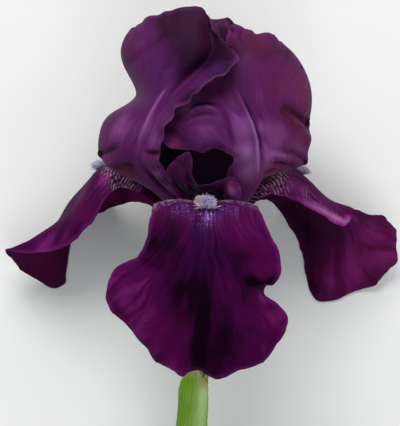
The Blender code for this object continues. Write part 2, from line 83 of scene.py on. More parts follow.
# Each fall: rows from the claw to the tip, each row its left margin, midrib and right margin as seen
# from outside with the tip down, then how far the left and right halves bow out between them.
FRONT_FALL = [
    ((-6.5, 4.5, 11), (0, 2, 12), (6.5, 4.5, 11), -0.6, -0.6),
    ((-11, 9, 21.5), (0, 6, 22.8), (11, 9, 21.5), -0.8, -0.8),
    ((-16.5, 11, 32.5), (0, 9.8, 34.8), (16, 11, 32.5), 0.6, 0.6),
    ((-19.4, 10.8, 41.5), (0, 11.8, 44.8), (18.6, 10.6, 41.5), 1.6, 1.4),
    ((-20.6, 3.6, 47.5), (0.4, 7, 50.5), (22, 4.2, 46.5), 1.8, 1.6),
    ((-24, -6.8, 49), (0.6, -3, 54), (27, -6, 47.5), 1.6, 1.8),
    ((-32.2, -11.6, 46), (0.8, -14, 54.6), (26.8, -15.6, 48), 1.4, 1.6),
    ((-36, -18.8, 44.5), (0.9, -24.5, 52.8), (23.2, -22.2, 45), 1.2, 1.4),
    ((-35.6, -26.2, 43), (0.6, -34.5, 49), (29.6, -28.4, 42), 1, 1.2),
    ((-27.6, -34.8, 41), (-0.6, -43.5, 44.5), (28.6, -37.4, 40.5), 1.2, 1.4),
    ((-17.6, -46.6, 38.5), (-2.4, -50.4, 40), (21.6, -46.8, 37.5), 3.2, 2.6),
]
RIGHT_FALL = [
    ((12.5, 5.5, 1.5), (11, 9.5, -5.5), (8.5, 2.5, -13), 0.8, 1),
    ((21, 14.2, 2), (20.5, 18.5, -10), (20, 12.8, -27), 2, 2.6),
    ((30.5, 13.8, -2), (32.6, 24, -17), (28.6, 8, -46.5), 3.4, 5),
    ((43.3, 7.4, -7), (42.5, 14.6, -21.5), (35, -3, -48), 3, 5),
    ((51.6, 3, -13), (52, 9.8, -25), (38, -15.5, -48.5), 2, 3.6),
    ((55, 8.2, -18), (56.5, 5.6, -28.5), (40.2, -22.8, -47.5), 1, 2.6),
    ((60.5, 8, -22.5), (61, -2, -31), (45.4, -25, -46.5), 0.6, 2),
    ((65.2, 7, -26), (66, -6.5, -33.5), (54, -22, -45.5), 0.8, 1.2),
    ((71.2, 2, -31), (71.8, -9.5, -36), (64, -18.6, -42), 0.8, 0.8),
]
LEFT_FALL = [
    ((-8.5, 2.5, -13), (-11, 9.5, -5.5), (-12.5, 5.5, 1.5), 1, 0.8),
    ((-21, 11.2, -25), (-21, 20, -10), (-22.5, 14.6, 2), 2.4, 1.8),
    ((-33, 10.8, -43.5), (-36.8, 25.4, -17), (-33, 16.6, -2.5), 4.4, 2.6),
    ((-40.2, 8, -48), (-44.8, 17.6, -21), (-39.4, 8.8, -5.5), 4.4, 2.6),
    ((-48.4, 2.2, -48), (-52, 7.8, -24.5), (-44.8, 1.8, -8.5), 3.8, 2.4),
    ((-53, -17.4, -47.5), (-59.2, 1.2, -27), (-52, -4.2, -14.5), 2.8, 1.8),
    ((-60.8, -17.6, -45), (-66.8, -3.4, -29), (-60.2, -6.4, -20.5), 1.6, 1),
    ((-69, -13, -39.5), (-74.2, -5.9, -32), (-70, -6.6, -27.5), 0.6, 0.4),
]

# Each standard: rows from the claw to the top, each row from its left margin to its right margin as
# seen from outside.
LEFT_STANDARD = [
    ((-15.5, 16.5, 6.5), (-17.5, 16, 8), (-18.2, 15.5, 10), (-16.5, 15, 12), (-14, 15, 13.5),
     (-11.5, 15, 15), (-9, 15.5, 15.5)),
    ((-33.4, 26.5, 4), (-35.6, 25.2, 9), (-31, 25.4, 15.5), (-25.5, 26, 18.5), (-22.4, 26, 20.5),
     (-18.8, 26, 22), (-15.9, 25.5, 22.5)),
    ((-34.2, 37.8, -7), (-38.8, 37.3, 6), (-32, 36, 19), (-24, 34.5, 24), (-21.5, 34.2, 25),
     (-18.6, 34, 27.5), (-16, 34, 30)),
    ((-28, 46.5, -12), (-33.6, 45.6, 4), (-26.5, 45, 20), (-19.5, 44.5, 26.6), (-16.5, 44.5, 27.8),
     (-14, 44.5, 31), (-11.5, 44, 35)),
    ((-23.8, 53, -7), (-25.2, 51.2, 5), (-21.5, 51.5, 20), (-15, 52, 27.9), (-11.5, 52, 28.2),
     (-8.5, 51.5, 32), (-4, 51.5, 38)),
    ((-24.5, 61, -6), (-28.8, 61, 6), (-21, 61, 22), (-8.5, 61, 29), (-3, 60.5, 26), (3, 60.5, 32),
     (9.5, 61.5, 39)),
    ((-25, 70, -4), (-30.2, 69.6, 8), (-20, 71.5, 22), (-2.5, 71.5, 28), (3, 70, 25.5), (7.5, 68.5, 30),
     (11.8, 66.6, 34)),
    ((-23.6, 76, 4), (-26.4, 76.6, 9), (-19, 80.6, 16), (-9.6, 83.6, 21), (-2, 84.2, 23), (1, 80.6, 25.4),
     (2.8, 75.4, 27.6)),
]
RIGHT_STANDARD = [
    ((9, 14, 13.2), (11, 14, 14), (13.6, 14, 13.8), (16.2, 14, 12.5), (17.6, 15, 10.5), (17.5, 16, 8.5),
     (15.5, 17, 7)),
    ((8, 21.5, 19.5), (11.6, 22, 20.2), (15.8, 22, 19), (19.8, 21.5, 16), (21.5, 21.5, 12), (22.5, 22, 8),
     (20.5, 24, 4)),
    ((9.8, 26.4, 24.8), (12.4, 27.2, 25.2), (16.2, 27.5, 23.8), (20.2, 27, 20.8), (27.4, 25.4, 16.8),
     (35.4, 25.6, 8), (32.5, 27.6, 2.4)),
    ((6.8, 31, 29.8), (11, 30.6, 29.4), (15.2, 31, 27.2), (20, 31.4, 23.4), (28.8, 30.2, 17.8),
     (37.8, 30, 7.6), (33.2, 31.8, -2.4)),
    ((-12.8, 32.4, 27.8), (-0.5, 34.6, 33), (9.4, 35.2, 31.5), (18.4, 36, 26.2), (29, 35.4, 19.2),
     (39, 35.2, 7), (32.5, 36.8, -7.4)),
    ((-15.4, 42, 24.6), (-5, 43, 31), (6.6, 43.5, 32.5), (16.4, 42.5, 29), (28.5, 42.5, 20),
     (38.4, 41.5, 6), (30.5, 43, -12)),
    ((-9, 53, 21.5), (-1, 54, 24.5), (5, 54.5, 27), (10.8, 53.5, 28), (27, 53.5, 21), (39.2, 52, 6),
     (31.5, 53, -11)),
    ((5.5, 65, 18.5), (7, 65, 19.8), (9, 65, 21.2), (12.5, 65, 23), (23, 65.5, 21), (34.8, 64, 8),
     (28.5, 63.5, -6)),
    ((8, 76.8, 17), (10.6, 77.6, 17.4), (13.8, 77, 17.6), (17.5, 75.4, 17), (22.2, 74.2, 15),
     (28.9, 71.6, 9), (26.5, 69.5, 0)),
]
BACK_STANDARD = [
    (15, -13, 8, 4.5), (26, -23, 18.5, 8), (38, -27.5, 24, 13), (50, -26, 25, 18), (61, -15.5, 21.5, 16),
    (71.5, -0.5, 12.8, 9), (80, 7.5, 5.8, 4),
]
BACK_STANDARD_TIP_SHIFT = 4.5
BACK_STANDARD_WRAP = 1.4

# A style arm: rows of across, outwards and up the flower's axis. Its far end parts into two crests. The
# side ones are the same on the left and right, so only half a row is written down, then its middle.
STYLE_ARM = [
    [(-x, y, z) for x, y, z in half] + [(0.0, *middle)] + half[::-1]
    for half, middle in (
        ([(1.6, 1.5, 8.8), (0.9, 2.3, 9.0)], (2.6, 9.1)),
        ([(3.6, 8.6, 13.6), (2.0, 8.2, 15.2)], (8.0, 15.8)),
        ([(5.6, 18.0, 18.6), (3.2, 17.4, 21.2)], (17.2, 22.2)),
        ([(6.8, 25.0, 22.4), (3.8, 25.0, 24.2)], (25.0, 24.6)),
        ([(8.2, 28.2, 28.0), (4.6, 28.6, 28.6)], (27.2, 26.0)),
        ([(8.6, 27.0, 33.0), (5.4, 27.6, 34.6)], (28.2, 27.0)),
    )
]
FRONT_STYLE_ARM = [
    STYLE_ARM[0],
    ((-4.6, 8.6, 13.2), (-2.6, 8.2, 15.0), (0.0, 8.0, 15.4), (2.4, 8.2, 15.0), (4.2, 8.6, 13.2)),
    ((-8.0, 14.6, 17.2), (-4.6, 15.2, 19.2), (-0.4, 15.8, 18.8), (3.6, 16.8, 19.2), (6.8, 18.0, 16.8)),
    ((-11.6, 18.2, 21.6), (-6.8, 19.2, 23.4), (-1.2, 20.0, 21.8), (4.8, 22.4, 22.2), (9.4, 23.4, 18.0)),
    ((-14.0, 19.6, 26.4), (-7.6, 20.6, 28.4), (-2.0, 22.2, 23.0), (6.2, 25.2, 24.4), (12.4, 26.2, 19.6)),
    ((-13.8, 20.0, 30.6), (-6.6, 21.4, 33.0), (-2.8, 23.4, 24.4), (7.2, 26.6, 26.8), (13.4, 27.2, 22.4)),
    ((-10.8, 20.2, 33.8), (-5.2, 21.8, 36.0), (-3.4, 24.0, 25.6), (8.2, 27.2, 28.4), (12.2, 27.4, 25.4)),
]

# The rods of a stamen: outwards, up the flower's axis and radius.
FILAMENT = [(4.1, 0.8, 0.8), (5.0, 4.5, 0.8), (8.0, 9.5, 0.7), (12.0, 13.4, 0.5)]
ANTHER = [(12.5, 14.0, 0.5), (13.6, 15.0, 1.1), (17.0, 17.3, 1.3), (20.8, 19.3, 1.1), (22.2, 19.9, 0.4)]
ANTHER_GROOVE = 0.18
# The perianth tube: how far down from the junction, and radius.
TUBE_MOUTH = [(0.0, TUBE_MOUTH_RADIUS - 0.6), (0.6, TUBE_MOUTH_RADIUS), (4.0, TUBE_MOUTH_RADIUS * 0.8)]
TUBE_THROAT = [(11.0, TUBE_RADIUS * 1.15), (19.0, TUBE_RADIUS), (TUBE_LENGTH, TUBE_RADIUS)]

# The bracts: where each is centred round the stalk, half its angle, its tip's height from the junction,
# how far below the ovary it starts and how blunt its tip is.
INNER_SPATHE = (62.0, 122.0, -40.0, 12.0, 3)
OUTER_SPATHE = (262.0, 92.0, -50.0, 22.0, 4)
SPATHE_TAPER = 0.86
SPATHE_SWELL = 6.0

# How the petals are worked over their cages, as they are seen from above.
# Soft pulls: x, y, radius and how far the surface moves.
GRABS = {
    "standard_right": [
        (38.5, 41.5, 5.5, (-2.4, 0, 0)), (38.5, 36, 4.5, (0.2, 0, 1)), (35.6, 61.8, 1.6, (-0.9, -0.4, 0)),
    ],
    "fall_front": [
        (23, -21.2, 5, (-1.4, 0, -1.5)), (-4.8, -50.6, 3.2, (0, -0.5, -0.4)),
        (-8.5, -51, 3.5, (0, -1.4, 0)), (5, -51, 8, (0, -2.6, 0)),
    ],
    "fall_right": [
        (66, 6.5, 3, (0.4, 0.6, 0.5)), (57, 8.6, 5, (0, 0.3, 0.5)),
    ],
    "fall_left": [
        (-53.2, -17.2, 3, (0.9, -0.5, 0)),
    ],
}
# Folds, or ribs where the depth is below zero: depth, width, change of tone, the line that it follows,
# and whether it runs out over the margin. The change of tone is painted shade in the folds and a
# painted highlight along the ribs.
CREASES = {
    "standard_left": [
        (-0.35, 0.6, 1.2, [(-25, 30), (-23.8, 36), (-22, 40), (-19.5, 45.5), (-16.5, 50.5), (-12, 57.5)]),
        (1.1, 1.2, -1.4, [(-30, 33.4), (-33.5, 32), (-36.5, 30.6), (-39.5, 29.8)], True),
        (1.1, 1.4, -1.7, [(-37, 24.6), (-32, 25.2), (-28, 25.8), (-24.5, 25.2)]),
        (0.9, 1.1, -1.5, [(-22.5, 29.8), (-19, 30.3), (-16.5, 29.8)], True),
        # Painted shade in the valley beside the midrib.
        (0.4, 4.5, -0.9, [(-16, 48), (-10, 57), (-4, 65.5), (0.5, 72.5), (3, 79), (4.5, 84)]),
        (0.5, 1.8, -0.35, [(-32, 60), (-24, 66), (-16, 73), (-11, 80)]),
        (0.9, 1.1, -0.9, [(-25, 29), (-22.4, 25), (-18.6, 20.4), (-14, 16), (-11, 13.6)], True),
    ],
    "standard_right": [
        (-1.4, 3.4, 0.5, [(8, 56), (11.4, 48), (14, 41), (15, 34), (15, 24)]),
        (-0.7, 0.7, 1.35,
         [(9.8, 57), (12.6, 50.5), (15, 45.5), (17.2, 40.5), (18.8, 35), (19.4, 29), (19.2, 20)]),
        (0.9, 0.8, -0.9,
         [(10, 59), (13.6, 51.4), (16.4, 45.8), (18.7, 40.6), (20.3, 35), (21, 29), (20.6, 21)]),
        (1, 0.9, -0.7, [(3.6, 50), (6.8, 45.2), (8.6, 41), (9.7, 36.5), (10.4, 31)]),
        (0.8, 1, -0.9, [(-8, 45), (-4, 47.8), (-0.5, 48.8), (3, 48.4), (6.6, 46)]),
        (-0.4, 0.7, 0.5, [(-8, 43.4), (-4, 46.2), (-0.5, 47), (3, 46.8), (6, 45)]),
        (0.6, 0.9, -0.7, [(-8.6, 41.6), (-4, 44.4), (0, 45.2), (3, 44.8), (6.6, 42.6)]),
        (0.5, 1, -0.5, [(-9.6, 38.6), (-3.5, 41.2), (1.5, 41.4), (6.5, 39.6)]),
        (1.4, 1.5, -1.5, [(26, 47.6), (29.5, 46.3), (32.5, 44.8), (35.5, 43), (38, 41.5)], True),
        (-0.8, 1.6, 0.3, [(27, 44.5), (31, 42.6), (35, 40.4), (37.5, 38.5)]),
        (1.1, 1.1, -0.9, [(27.5, 29.8), (30.5, 31), (33, 30.6), (35.5, 28.8), (37.5, 26.8)], True),
        (1.2, 1, -0.9, [(22.5, 24.4), (25, 26.4), (28, 26.8), (31, 25.8), (33.5, 24.4)]),
        (1.1, 1, -1.4, [(21, 20.5), (23, 23.6), (26, 24), (29, 23)]),
        (-0.8, 1.2, 0.5, [(22, 26.5), (25, 29.6), (28.5, 29), (32, 27)]),
        (0.4, 2.4, -0.25, [(18, 60), (24, 66), (29, 71)]),
    ],
    "style_arm_front": [
        (0.5, 0.8, -0.7, [(-14.6, 25.6), (-12.4, 21.6), (-9.6, 17.6), (-7, 14.6)]),
        (-0.4, 0.9, 0.6, [(-10.6, 29), (-9, 24.6), (-7.4, 20.4), (-5.4, 16)]),
        (0.4, 0.7, -0.5, [(-6.6, 28.6), (-5.6, 24.6), (-4.6, 20)]),
        (0.5, 0.7, -0.8, [(7.4, 20.6), (6.6, 17.6), (6.4, 14.4), (6.8, 12)]),
        (-0.4, 0.9, 0.6, [(9.8, 20), (9.6, 16.6), (9.6, 13.6)]),
    ],
    "fall_front": [
        # Painted shade down the midline fold.
        (0.8, 2.8, -0.8,
         [(0.6, -4), (0.2, -12), (-0.8, -22), (-1.6, -32), (-2.4, -42), (-3.6, -52)], True),
        (0.8, 7, -0.45, [(2, -2), (1.5, -14), (1.5, -26), (2, -38), (2, -52)], True),
        (-0.3, 2.4, 0.1, [(-5.2, -28), (-6.4, -38), (-7.8, -51)], True),
        # Painted shadow under the notch's overhanging upper lobe.
        (1.8, 2.2, -1.5, [(13, -14.4), (17, -16.8), (20.5, -19), (24, -21.2)], True),
        (-0.9, 2.4, 0.3, [(15, -22), (20, -23.6), (25, -24.6)], True),
        (0.7, 2.4, -0.3, [(-12, -14), (-19, -11.8), (-25, -8.8)], True),
        (0.4, 1.6, -0.2, [(-18, -18), (-27, -23), (-36, -26)], True),
        (0.4, 1.6, -0.2, [(12, -33), (20, -37), (26, -40)], True),
        (0.5, 1.8, -0.3, [(-8, -26), (-12, -36), (-17, -47)], True),
    ],
    "fall_right": [
        # The light band along the haft's arch: a painted highlight.
        (-0.4, 1.6, 1.8,
         [(27, 14.6), (31.5, 14.4), (37, 11.8), (43.4, 8.8), (48, 6.2), (52, 4.4), (54, 5.6), (56, 7)]),
        (0.5, 1.4, -0.4, [(55, -2), (61, -4.6), (66, -5.6), (71.5, -6)], True),
        (0.5, 1.6, -0.3, [(53, -6), (58, -12), (62.5, -18)], True),
        (0.4, 1.6, -0.2, [(50, -6), (50.5, -14), (50.5, -21.5)], True),
    ],
    "fall_left": [
        (0.6, 1.2, -0.3, [(-45, 6), (-46.5, 3), (-47.8, 0)], True),
        (-0.4, 1, 0.9, [(-35, 17.4), (-30, 18.2), (-25, 17.6), (-21, 15)]),
    ],
}
# Colour: x, y, radius, then how much lighter, how much redder (or, below zero, bluer), and how much of
# the haft's white (or, below zero, of lavender along the veins). Lighter and darker is mostly painted
# light and painted shade, and some redness is painted light too, on parts that lie in shade.
DABS = {
    # Painted shade in the valley, on the right lobe and at the top; painted light on the lit lower lobe.
    "standard_left": [
        (-20, 39, 7, 0.35, -0.3), (-31, 40, 8, 0.8), (-15, 44, 5, 0.1, -0.2), (-13, 80, 9, -1, 0.2),
        (-1.5, 79, 8, -1.8, 0.2), (-28, 72, 6, -0.2, 0.2), (-30, 64, 7, 0.1, 0.1), (-4, 66, 6, -0.5),
        (3.5, 72, 7, -1.5, 0.2), (9, 67, 6, -1.6, 0.2), (2, 64, 6, -0.7), (-16.7, 59, 9, -0.1, -0.3),
        (-7.5, 75, 8, -0.6), (3.7, 61, 6, -0.5, -0.7), (9, 62, 4, -0.5), (-7.5, 50, 6, -0.6),
        (-13, 67, 8, -0.4), (-18.5, 33.5, 3.6, 0.5, 0.2), (4, 60, 4, -0.8), (-5.2, 50.7, 4, -0.7),
        (-33, 44, 6, -0.5), (-37, 36, 4, -0.4, 0.6), (-39.4, 29.4, 1.6, 0.8), (-24.5, 51.5, 5, -0.3),
        (-23.5, 29.6, 4, 0.3), (-29, 23.4, 4.2, -1.1, 0.9), (-20, 70, 7, 0.3), (-20, 28, 4, 0.3, 0.4),
        (-13, 17, 3, 0.6, 0.1), (-17.6, 22.6, 2.6, 0.6, 0.1), (-36, 28, 5, 0.5, 0.4),
    ],
    # Painted light by the midrib and on the lower right lobes; painted shade under the other's margin.
    "standard_right": [
        (14, 40, 6, 0.9, -0.6), (15, 30, 5, 1.3, -0.3), (15.5, 24, 6, 1.4), (20, 30, 5, 0.8, -0.3),
        (14.8, 45.4, 5, -0.7), (20.4, 39, 3.5, 0.6), (31.5, 66.6, 6, -0.4), (34, 37, 7, -0.2, 0.8),
        (29.5, 45.5, 3.5, -1.8, 0.5), (33.3, 42.4, 3.2, -1.7, 0.5), (34, 41, 4, -0.6, 0.4),
        (9.5, 63, 6, -0.4), (0, 38, 5, 0.15), (26, 53, 8, -0.2, 0.2), (23, 25, 4, 0.5, 0.2),
        (18, 70, 8, -0.5), (30, 66, 7, -0.4), (0, 37.5, 6, 0.3, -0.2), (-7.4, 37, 4, -0.5),
        (-11.6, 38.5, 4.5, -0.7, 0.2), (-10.6, 32.4, 2.4, 0.9, 2.4), (-7, 47, 5, 0.8),
        (9.5, 23, 3.5, -0.2), (26, 36, 8, 0.7, 0.2), (20, 72, 10, -0.2, 0.9), (34, 58, 11, 0.3, 0.7),
        (37, 50, 7, 0.3, 1), (26, 54, 9, 0.2, 0.3), (34, 32, 6, 0.9, 0.5), (23, 27, 4, 0.5),
        (25, 23, 6, 0.5, 1.2), (30, 25, 3.5, -0.5, 0.8), (9, 66, 5, -0.5),
    ],
    # Painted light on the tip that lies in shade between the standards; painted shade deep in the cavity.
    "standard_back": [
        (6.5, 76, 7, 2.6, 0.9), (0, 25, 16, -2), (0, 45, 18, -1.6),
    ],
    # Painted shade where the standards shade the fall and in its folds; painted light on lit parts.
    "fall_front": [
        (-17, -36, 10, 0.3, 0.2), (-31, -21, 9, 0.1, 0.1), (-31, -32, 3.5, -0.2), (-30, -26, 4, 0.3),
        (25.9, -28, 6, 0.4), (-20.5, -3.5, 4.5, -0.6), (-13.5, -20, 5, -0.4), (14, -8, 5, -0.4),
        (13.5, -24, 5, -0.4), (27.8, -21, 3, -1.2), (-22, -24, 8, 0.1), (-25, -36, 6, 0.3, 0.1),
        (-16, -44, 7, 0.3), (-8, -20, 4.5, -0.8), (-10, -6, 6, -0.3), (12, -15, 6, -0.4),
        (26.5, -23, 4, -0.9), (25, -17, 3, -0.8), (-10.5, -14, 6.5, -0.5), (-10.5, -26, 6.5, -0.6),
        (5, -5, 9, -0.4), (15, 3, 9, 0.1, 0.1), (21, -8, 9, -0.3, 0.1), (26, -31, 7, 0.1, 0.2),
        (-2, 1.5, 5, -0.4, -1), (-15, -3, 10, -0.7), (-12, 5, 6, -0.4), (0.5, -8, 12, -0.3, -0.4),
        (11, -36, 9, -0.3), (0.5, 7.5, 4.6, 0.1, -1.2, -0.8), (-8, 10, 4.6, 0, -1, -0.3),
        (9, 10, 4.6, 0, -1, -0.3), (1.2, 6.5, 1.2, 0.6, 0, -0.5), (-10, -40, 12, -0.2),
        (8, -45, 11, -0.45),
    ],
    # Painted light, lighter and redder, on the far half that lies in shade; painted shade under the arch.
    "fall_right": [
        (42, 13.5, 7, 0.3, -0.3), (37, 15, 5, 0.2, -0.3, 0.2), (42, 10.5, 4.5, 0, 0, 0.15),
        (48, 6.5, 4.5, 0, 0, 0.15), (31, 22, 5, 0, -0.3, -0.5), (38, 2, 8, -0.7), (42, -12, 9, -0.3),
        (40, -19, 5, -0.9), (30, 10, 5, -0.5), (32, 19, 4, 1.2, -0.2), (36, 17, 3.5, 0.8),
        (68, -6, 12, 0.7, 0.6), (54, -12, 11, 0.7, 0.6), (60, 2, 8, 0.6, 0.4), (52, -19, 6, 0, 0.2),
        (43, -16.5, 6, 0.4, 0.1), (65, -3.7, 6, -0.3), (24, 16, 7, 1, 0.7, -0.3),
    ],
    # Painted light and painted shade, darkest on the tucked tip.
    "fall_left": [
        (-41, 17, 5, 0, -0.2), (-24, 14, 9, 0.7, 1.4, -0.9), (-34, 14, 6, 0.1, 1, -0.5),
        (-60, -4.5, 8, 0.5), (-52, 8.5, 9, -0.5), (-37, 20.5, 4.5, 0.8), (-32, 20, 5, 0, 0, -0.5),
        (-46, 8, 6, -0.2, 0.3), (-60, -12, 8, -0.6, 0.5),
    ],
    # Painted shade on the arm deep in the centre; painted light on its right crest.
    "style_arm_front": [
        (-12, 20, 6, -0.6, -0.3), (-9.5, 27, 4, -0.4), (10.4, 16, 4, 1.4), (-4.6, 22, 4, -1.2),
        (-2, 16, 5, -1.2), (3.5, 15.5, 4.5, -1.8),
    ],
    "spathe_outer": [
        (-0.8, -53.5, 2.6, 0.6, 0.3, 0.8), (-0.2, -58, 4, 1.2, 0, 0.1), (-0.5, -62.5, 4, 1.1),
        (-1.2, -67, 4, 0.9), (-1.5, -71.5, 4, 0.8), (-1.8, -76, 4, 0.8), (-2.1, -80.5, 4, 0.6),
    ],
}
# Ruffles: height, length along the margin, how far they reach in, and the ragged outline's size.
RUFFLES = {
    "standard_left": (1.1, 8, 5, 0.18),
    "standard_right": (1.1, 8, 5, 0.22),
    "standard_back": (1, 7, 5, 0.25),
    "fall_front": (0.8, 12, 6, 0.15),
    "fall_right": (0.7, 10, 5, 0.18),
    "fall_left": (0.6, 10, 5, 0.18),
    "style_arm_front": (0.6, 6, 3, 0.25),
    "style_arm_right": (0.6, 4.5, 2.5, 0.35),
    "style_arm_left": (0.6, 4.5, 2.5, 0.35),
}
SPATHE_RUFFLE = (0.15, 6.0, 2.0, 0.25)
# Where along each fall the stripes of its haft start and end, and how white they are; and how softly
# they start and end, as shares before and after.
HAFTS = {
    "fall_front": (-0.1, 0.395, 0.75),
    # The right fall's stripes are painted whiter: a painted highlight for the light on its haft.
    "fall_right": (-0.1, 0.33, 1.4),
    "fall_left": (0.28, 0.40, 1.3),
}
HAFT_STARTS, HAFT_ENDS = (0.03, 0.03), (0.05, 0.02)
# Veins: how far up the petal they start to spread, how close to that they spread hardest, and how far
# apart they are before it.
FALL_FAN = (50.0, 10.0, 1.3)
STANDARD_FAN = (22.0, 20.0, 1.5)
STYLE_FAN = (10.0, 8.0, 1.2)
SPATHE_FAN = (200.0, 10.0, 1.2)
# Where each petal's unevenness is read from the noise.
SEEDS = {name: 3.7 * (i + 1) for i, name in enumerate(sorted(RUFFLES))}
SPATHE_SEED = 5.5
# Waves along a margin: share of the height, share of the length, and which wave.
RUFFLE_WAVES = ((1.0, 0.55, 0.0), (0.22, 0.25, 9.0))
# The ragged outline: share of its size, length and which wave, and how far it reaches in.
RAGGED_WAVES = ((1.0, 2.6, 20.0), (0.5, 1.1, 30.0))
RAGGED_REACH = 2.2
MARGIN_FADE = 4.0  # how far in a petal thins towards its margins, and lies evener
MARGIN_SHARE = 0.4  # of the thickness is left at the margin itself
RIM_BULGE = 0.35  # how far the rim stands out, as a share of the thickness there
LIFT_REACH = 0.8  # how wide a spot is looked at to find the surface near a place
LAYER_DEPTH = 1.6  # how far below the topmost point still counts as the same layer
TRACE_STEP = 0.7  # along the line of a fold
CHEVRON_SLANT = 0.55  # how far a haft's stripes run down the petal as they leave its midrib

# A slow unevenness of the whole surface: its height and period.
TEPAL_UNEVENNESS = (0.5, 16.0)
STYLE_UNEVENNESS = (0.15, 6.0)

# Grids of faces across and along each sheet; points along rods, and sides round them.
TEPAL_GRID = (130, 180)
STYLE_GRID = (48, 80)
SPATHE_GRID = (72, 90)
SPLINE_STEPS = 200
COLUMN_STEPS, COLUMN_SIDES = 12, 36
STAMEN_STEPS, STAMEN_SIDES = 40, 24
TUBE_STEPS, TUBE_SIDES = 60, 60
OVARY_STEPS, STEM_STEPS, STALK_SIDES = 70, 160, 72
# Shallow lengthwise lobes round rods: how deep, as a share of the radius, and how many.
COLUMN_LOBES = (0.06, 3)
TUBE_LOBES = (0.03, 6)
OVARY_LOBES = (0.05, 6)
STEM_LOBES = (0.012, 11)
# Edges sharper than this stay sharp, in degrees.
SHEET_SHARP, ROD_SHARP, HAIR_SHARP = 70.0, 50.0, 80.0

# Waxy skins: ground, light and deep colours, then the blotches' colour, their share, and the bloom's.
STALK_SKINS = {
    "filament_flesh": ((168, 150, 184), (206, 196, 214), (120, 90, 140), (120, 60, 120), 0.4, 0.1),
    "tube_skin": ((116, 138, 62), (150, 166, 92), (90, 108, 50), (108, 62, 96), 0.6, 0.08),
    "ovary_skin": ((112, 152, 42), (150, 186, 82), (86, 126, 34), (130, 156, 64), 0.3, 0.1),
    "stem_skin": ((108, 148, 44), (146, 182, 84), (82, 118, 34), (150, 168, 84), 0.35, 0.18),
}

# Beards: how many hairs each has, how cream they are, of how many sides, and their radius along them
# as shares.
BEARD_HAIRS = 2200
FRONT_CREAM, SIDE_CREAM = 0.55, 0.1
HAIR_SIDES = 4
HAIR_TAPER = [(0.0, 1.0), (0.45, 0.95), (0.85, 0.75)]

# The stage, in metres: the floor's size and how far it is under the flower, the lights by name, place
# from the junction, size, power and tint, the sky, and the camera's place from the junction with the
# height of what it sees there.
FLOOR_SIZE = 30.0
FLOOR_DROP = 0.0002
LIGHTS = (
    ("key", (-0.15, 1.1, 1.05), 0.9, 26.0, (1.0, 0.99, 0.97)),
    ("fill", (0.3, -0.7, 1.4), 1.2, 7.5, (0.97, 0.97, 1.0)),
)
SKY_TINT = (0.92, 0.95, 1.0, 1.0)
SKY_STRENGTH = 0.45
CAMERA_PLACE = (-0.00185, 0.00814, 6.0)
CAMERA_VIEW = 0.15762


def srgb(red, green, blue):
    """A screen colour from 0 to 255, as the linear colour that shaders take."""
    levels = [c / 255.0 for c in (red, green, blue)]
    return tuple(c / 12.92 if c <= 0.04045 else ((c + 0.055) / 1.055) ** 2.4 for c in levels) + (1.0,)


def find_junction():
    """The junction's place in the frame, in millimetres, from the style column that stands on it."""
    low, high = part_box("style_column")
    foot = SEAT_GAP * AXIS
    x = (low.x + high.x) / 2.0 / MM
    y = low.y / MM - foot[1] + COLUMN_RADIUS * math.sin(TILT)
    z = low.z / MM - foot[2] + COLUMN_RADIUS * math.cos(TILT)
    return np.array((x, y, z))


JUNCTION = find_junction()


def smooth(value, low, high):
    """A soft step from 0 at low to 1 at high."""
    t = np.clip((np.asarray(value, dtype=float) - low) / (high - low), 0.0, 1.0)
    return t * t * (3.0 - 2.0 * t)


def around_axis(azimuth, across, outwards, up):
    """A point given by its place across, outwards and up, at an angle around the flower's axis."""
    turn = math.radians(azimuth)
    outward = math.sin(turn) * RIGHT + math.cos(turn) * FRONT
    sideways = math.cos(turn) * RIGHT - math.sin(turn) * FRONT
    return across * sideways + outwards * outward + up * AXIS


def claw_base(azimuth, count):
    """The row of points where a claw stands on the perianth tube."""
    angles = np.linspace(-CLAW_HALF_ANGLE, CLAW_HALF_ANGLE, count)
    return [around_axis(azimuth + a, 0.0, CLAW_RING_RADIUS, CLAW_BASE_HEIGHT) for a in angles]


def natural_spline(values, samples):
    """Values at even steps, read between the steps along a natural cubic spline."""
    values = np.asarray(values, dtype=float)
    count = len(values)
    system = np.eye(count)
    right = np.zeros_like(values)
    for i in range(1, count - 1):
        system[i, i - 1 : i + 2] = (1.0, 4.0, 1.0)
        right[i] = 6.0 * (values[i - 1] - 2.0 * values[i] + values[i + 1])
    bend = np.linalg.solve(system, right.reshape(count, -1)).reshape(values.shape)
    place = np.clip(np.asarray(samples), 0.0, 1.0) * (count - 1)
    low = np.minimum(place.astype(int), count - 2)
    b = (place - low).reshape((-1,) + (1,) * (values.ndim - 1))
    a = 1.0 - b
    curve = (a**3 - a) * bend[low] + (b**3 - b) * bend[low + 1]
    return a * values[low] + b * values[low + 1] + curve / 6.0


def sheet(cage, across, along):
    """A smooth surface through every point of a cage, as an array of along x across points."""
    rows = natural_spline(np.asarray(cage, dtype=float), along)
    return np.swapaxes(natural_spline(np.swapaxes(rows, 0, 1), across), 0, 1)


def bowed_rows(rows, base):
    """A cage of five points a row, from rows of margin, midrib and margin with two bows."""
    left, middle, right = (np.array([row[i] for row in rows]) for i in range(3))
    left, middle, right = (
        np.vstack([base[i], points]) for i, points in ((0, left), (2, middle), (4, right))
    )
    bows = np.array([(0.3, 0.3)] + [row[3:5] for row in rows])
    cage = []
    for i in range(len(middle)):
        ahead = middle[min(i + 1, len(middle) - 1)] - middle[max(i - 1, 0)]
        row = [left[i]]
        for start, end, bow in ((left[i], middle[i], bows[i][0]), (middle[i], right[i], bows[i][1])):
            away = np.cross(ahead, end - start)
            away /= np.linalg.norm(away)
            row += [(start + end) / 2.0 + bow * away, end]
        cage.append(row)
    return cage


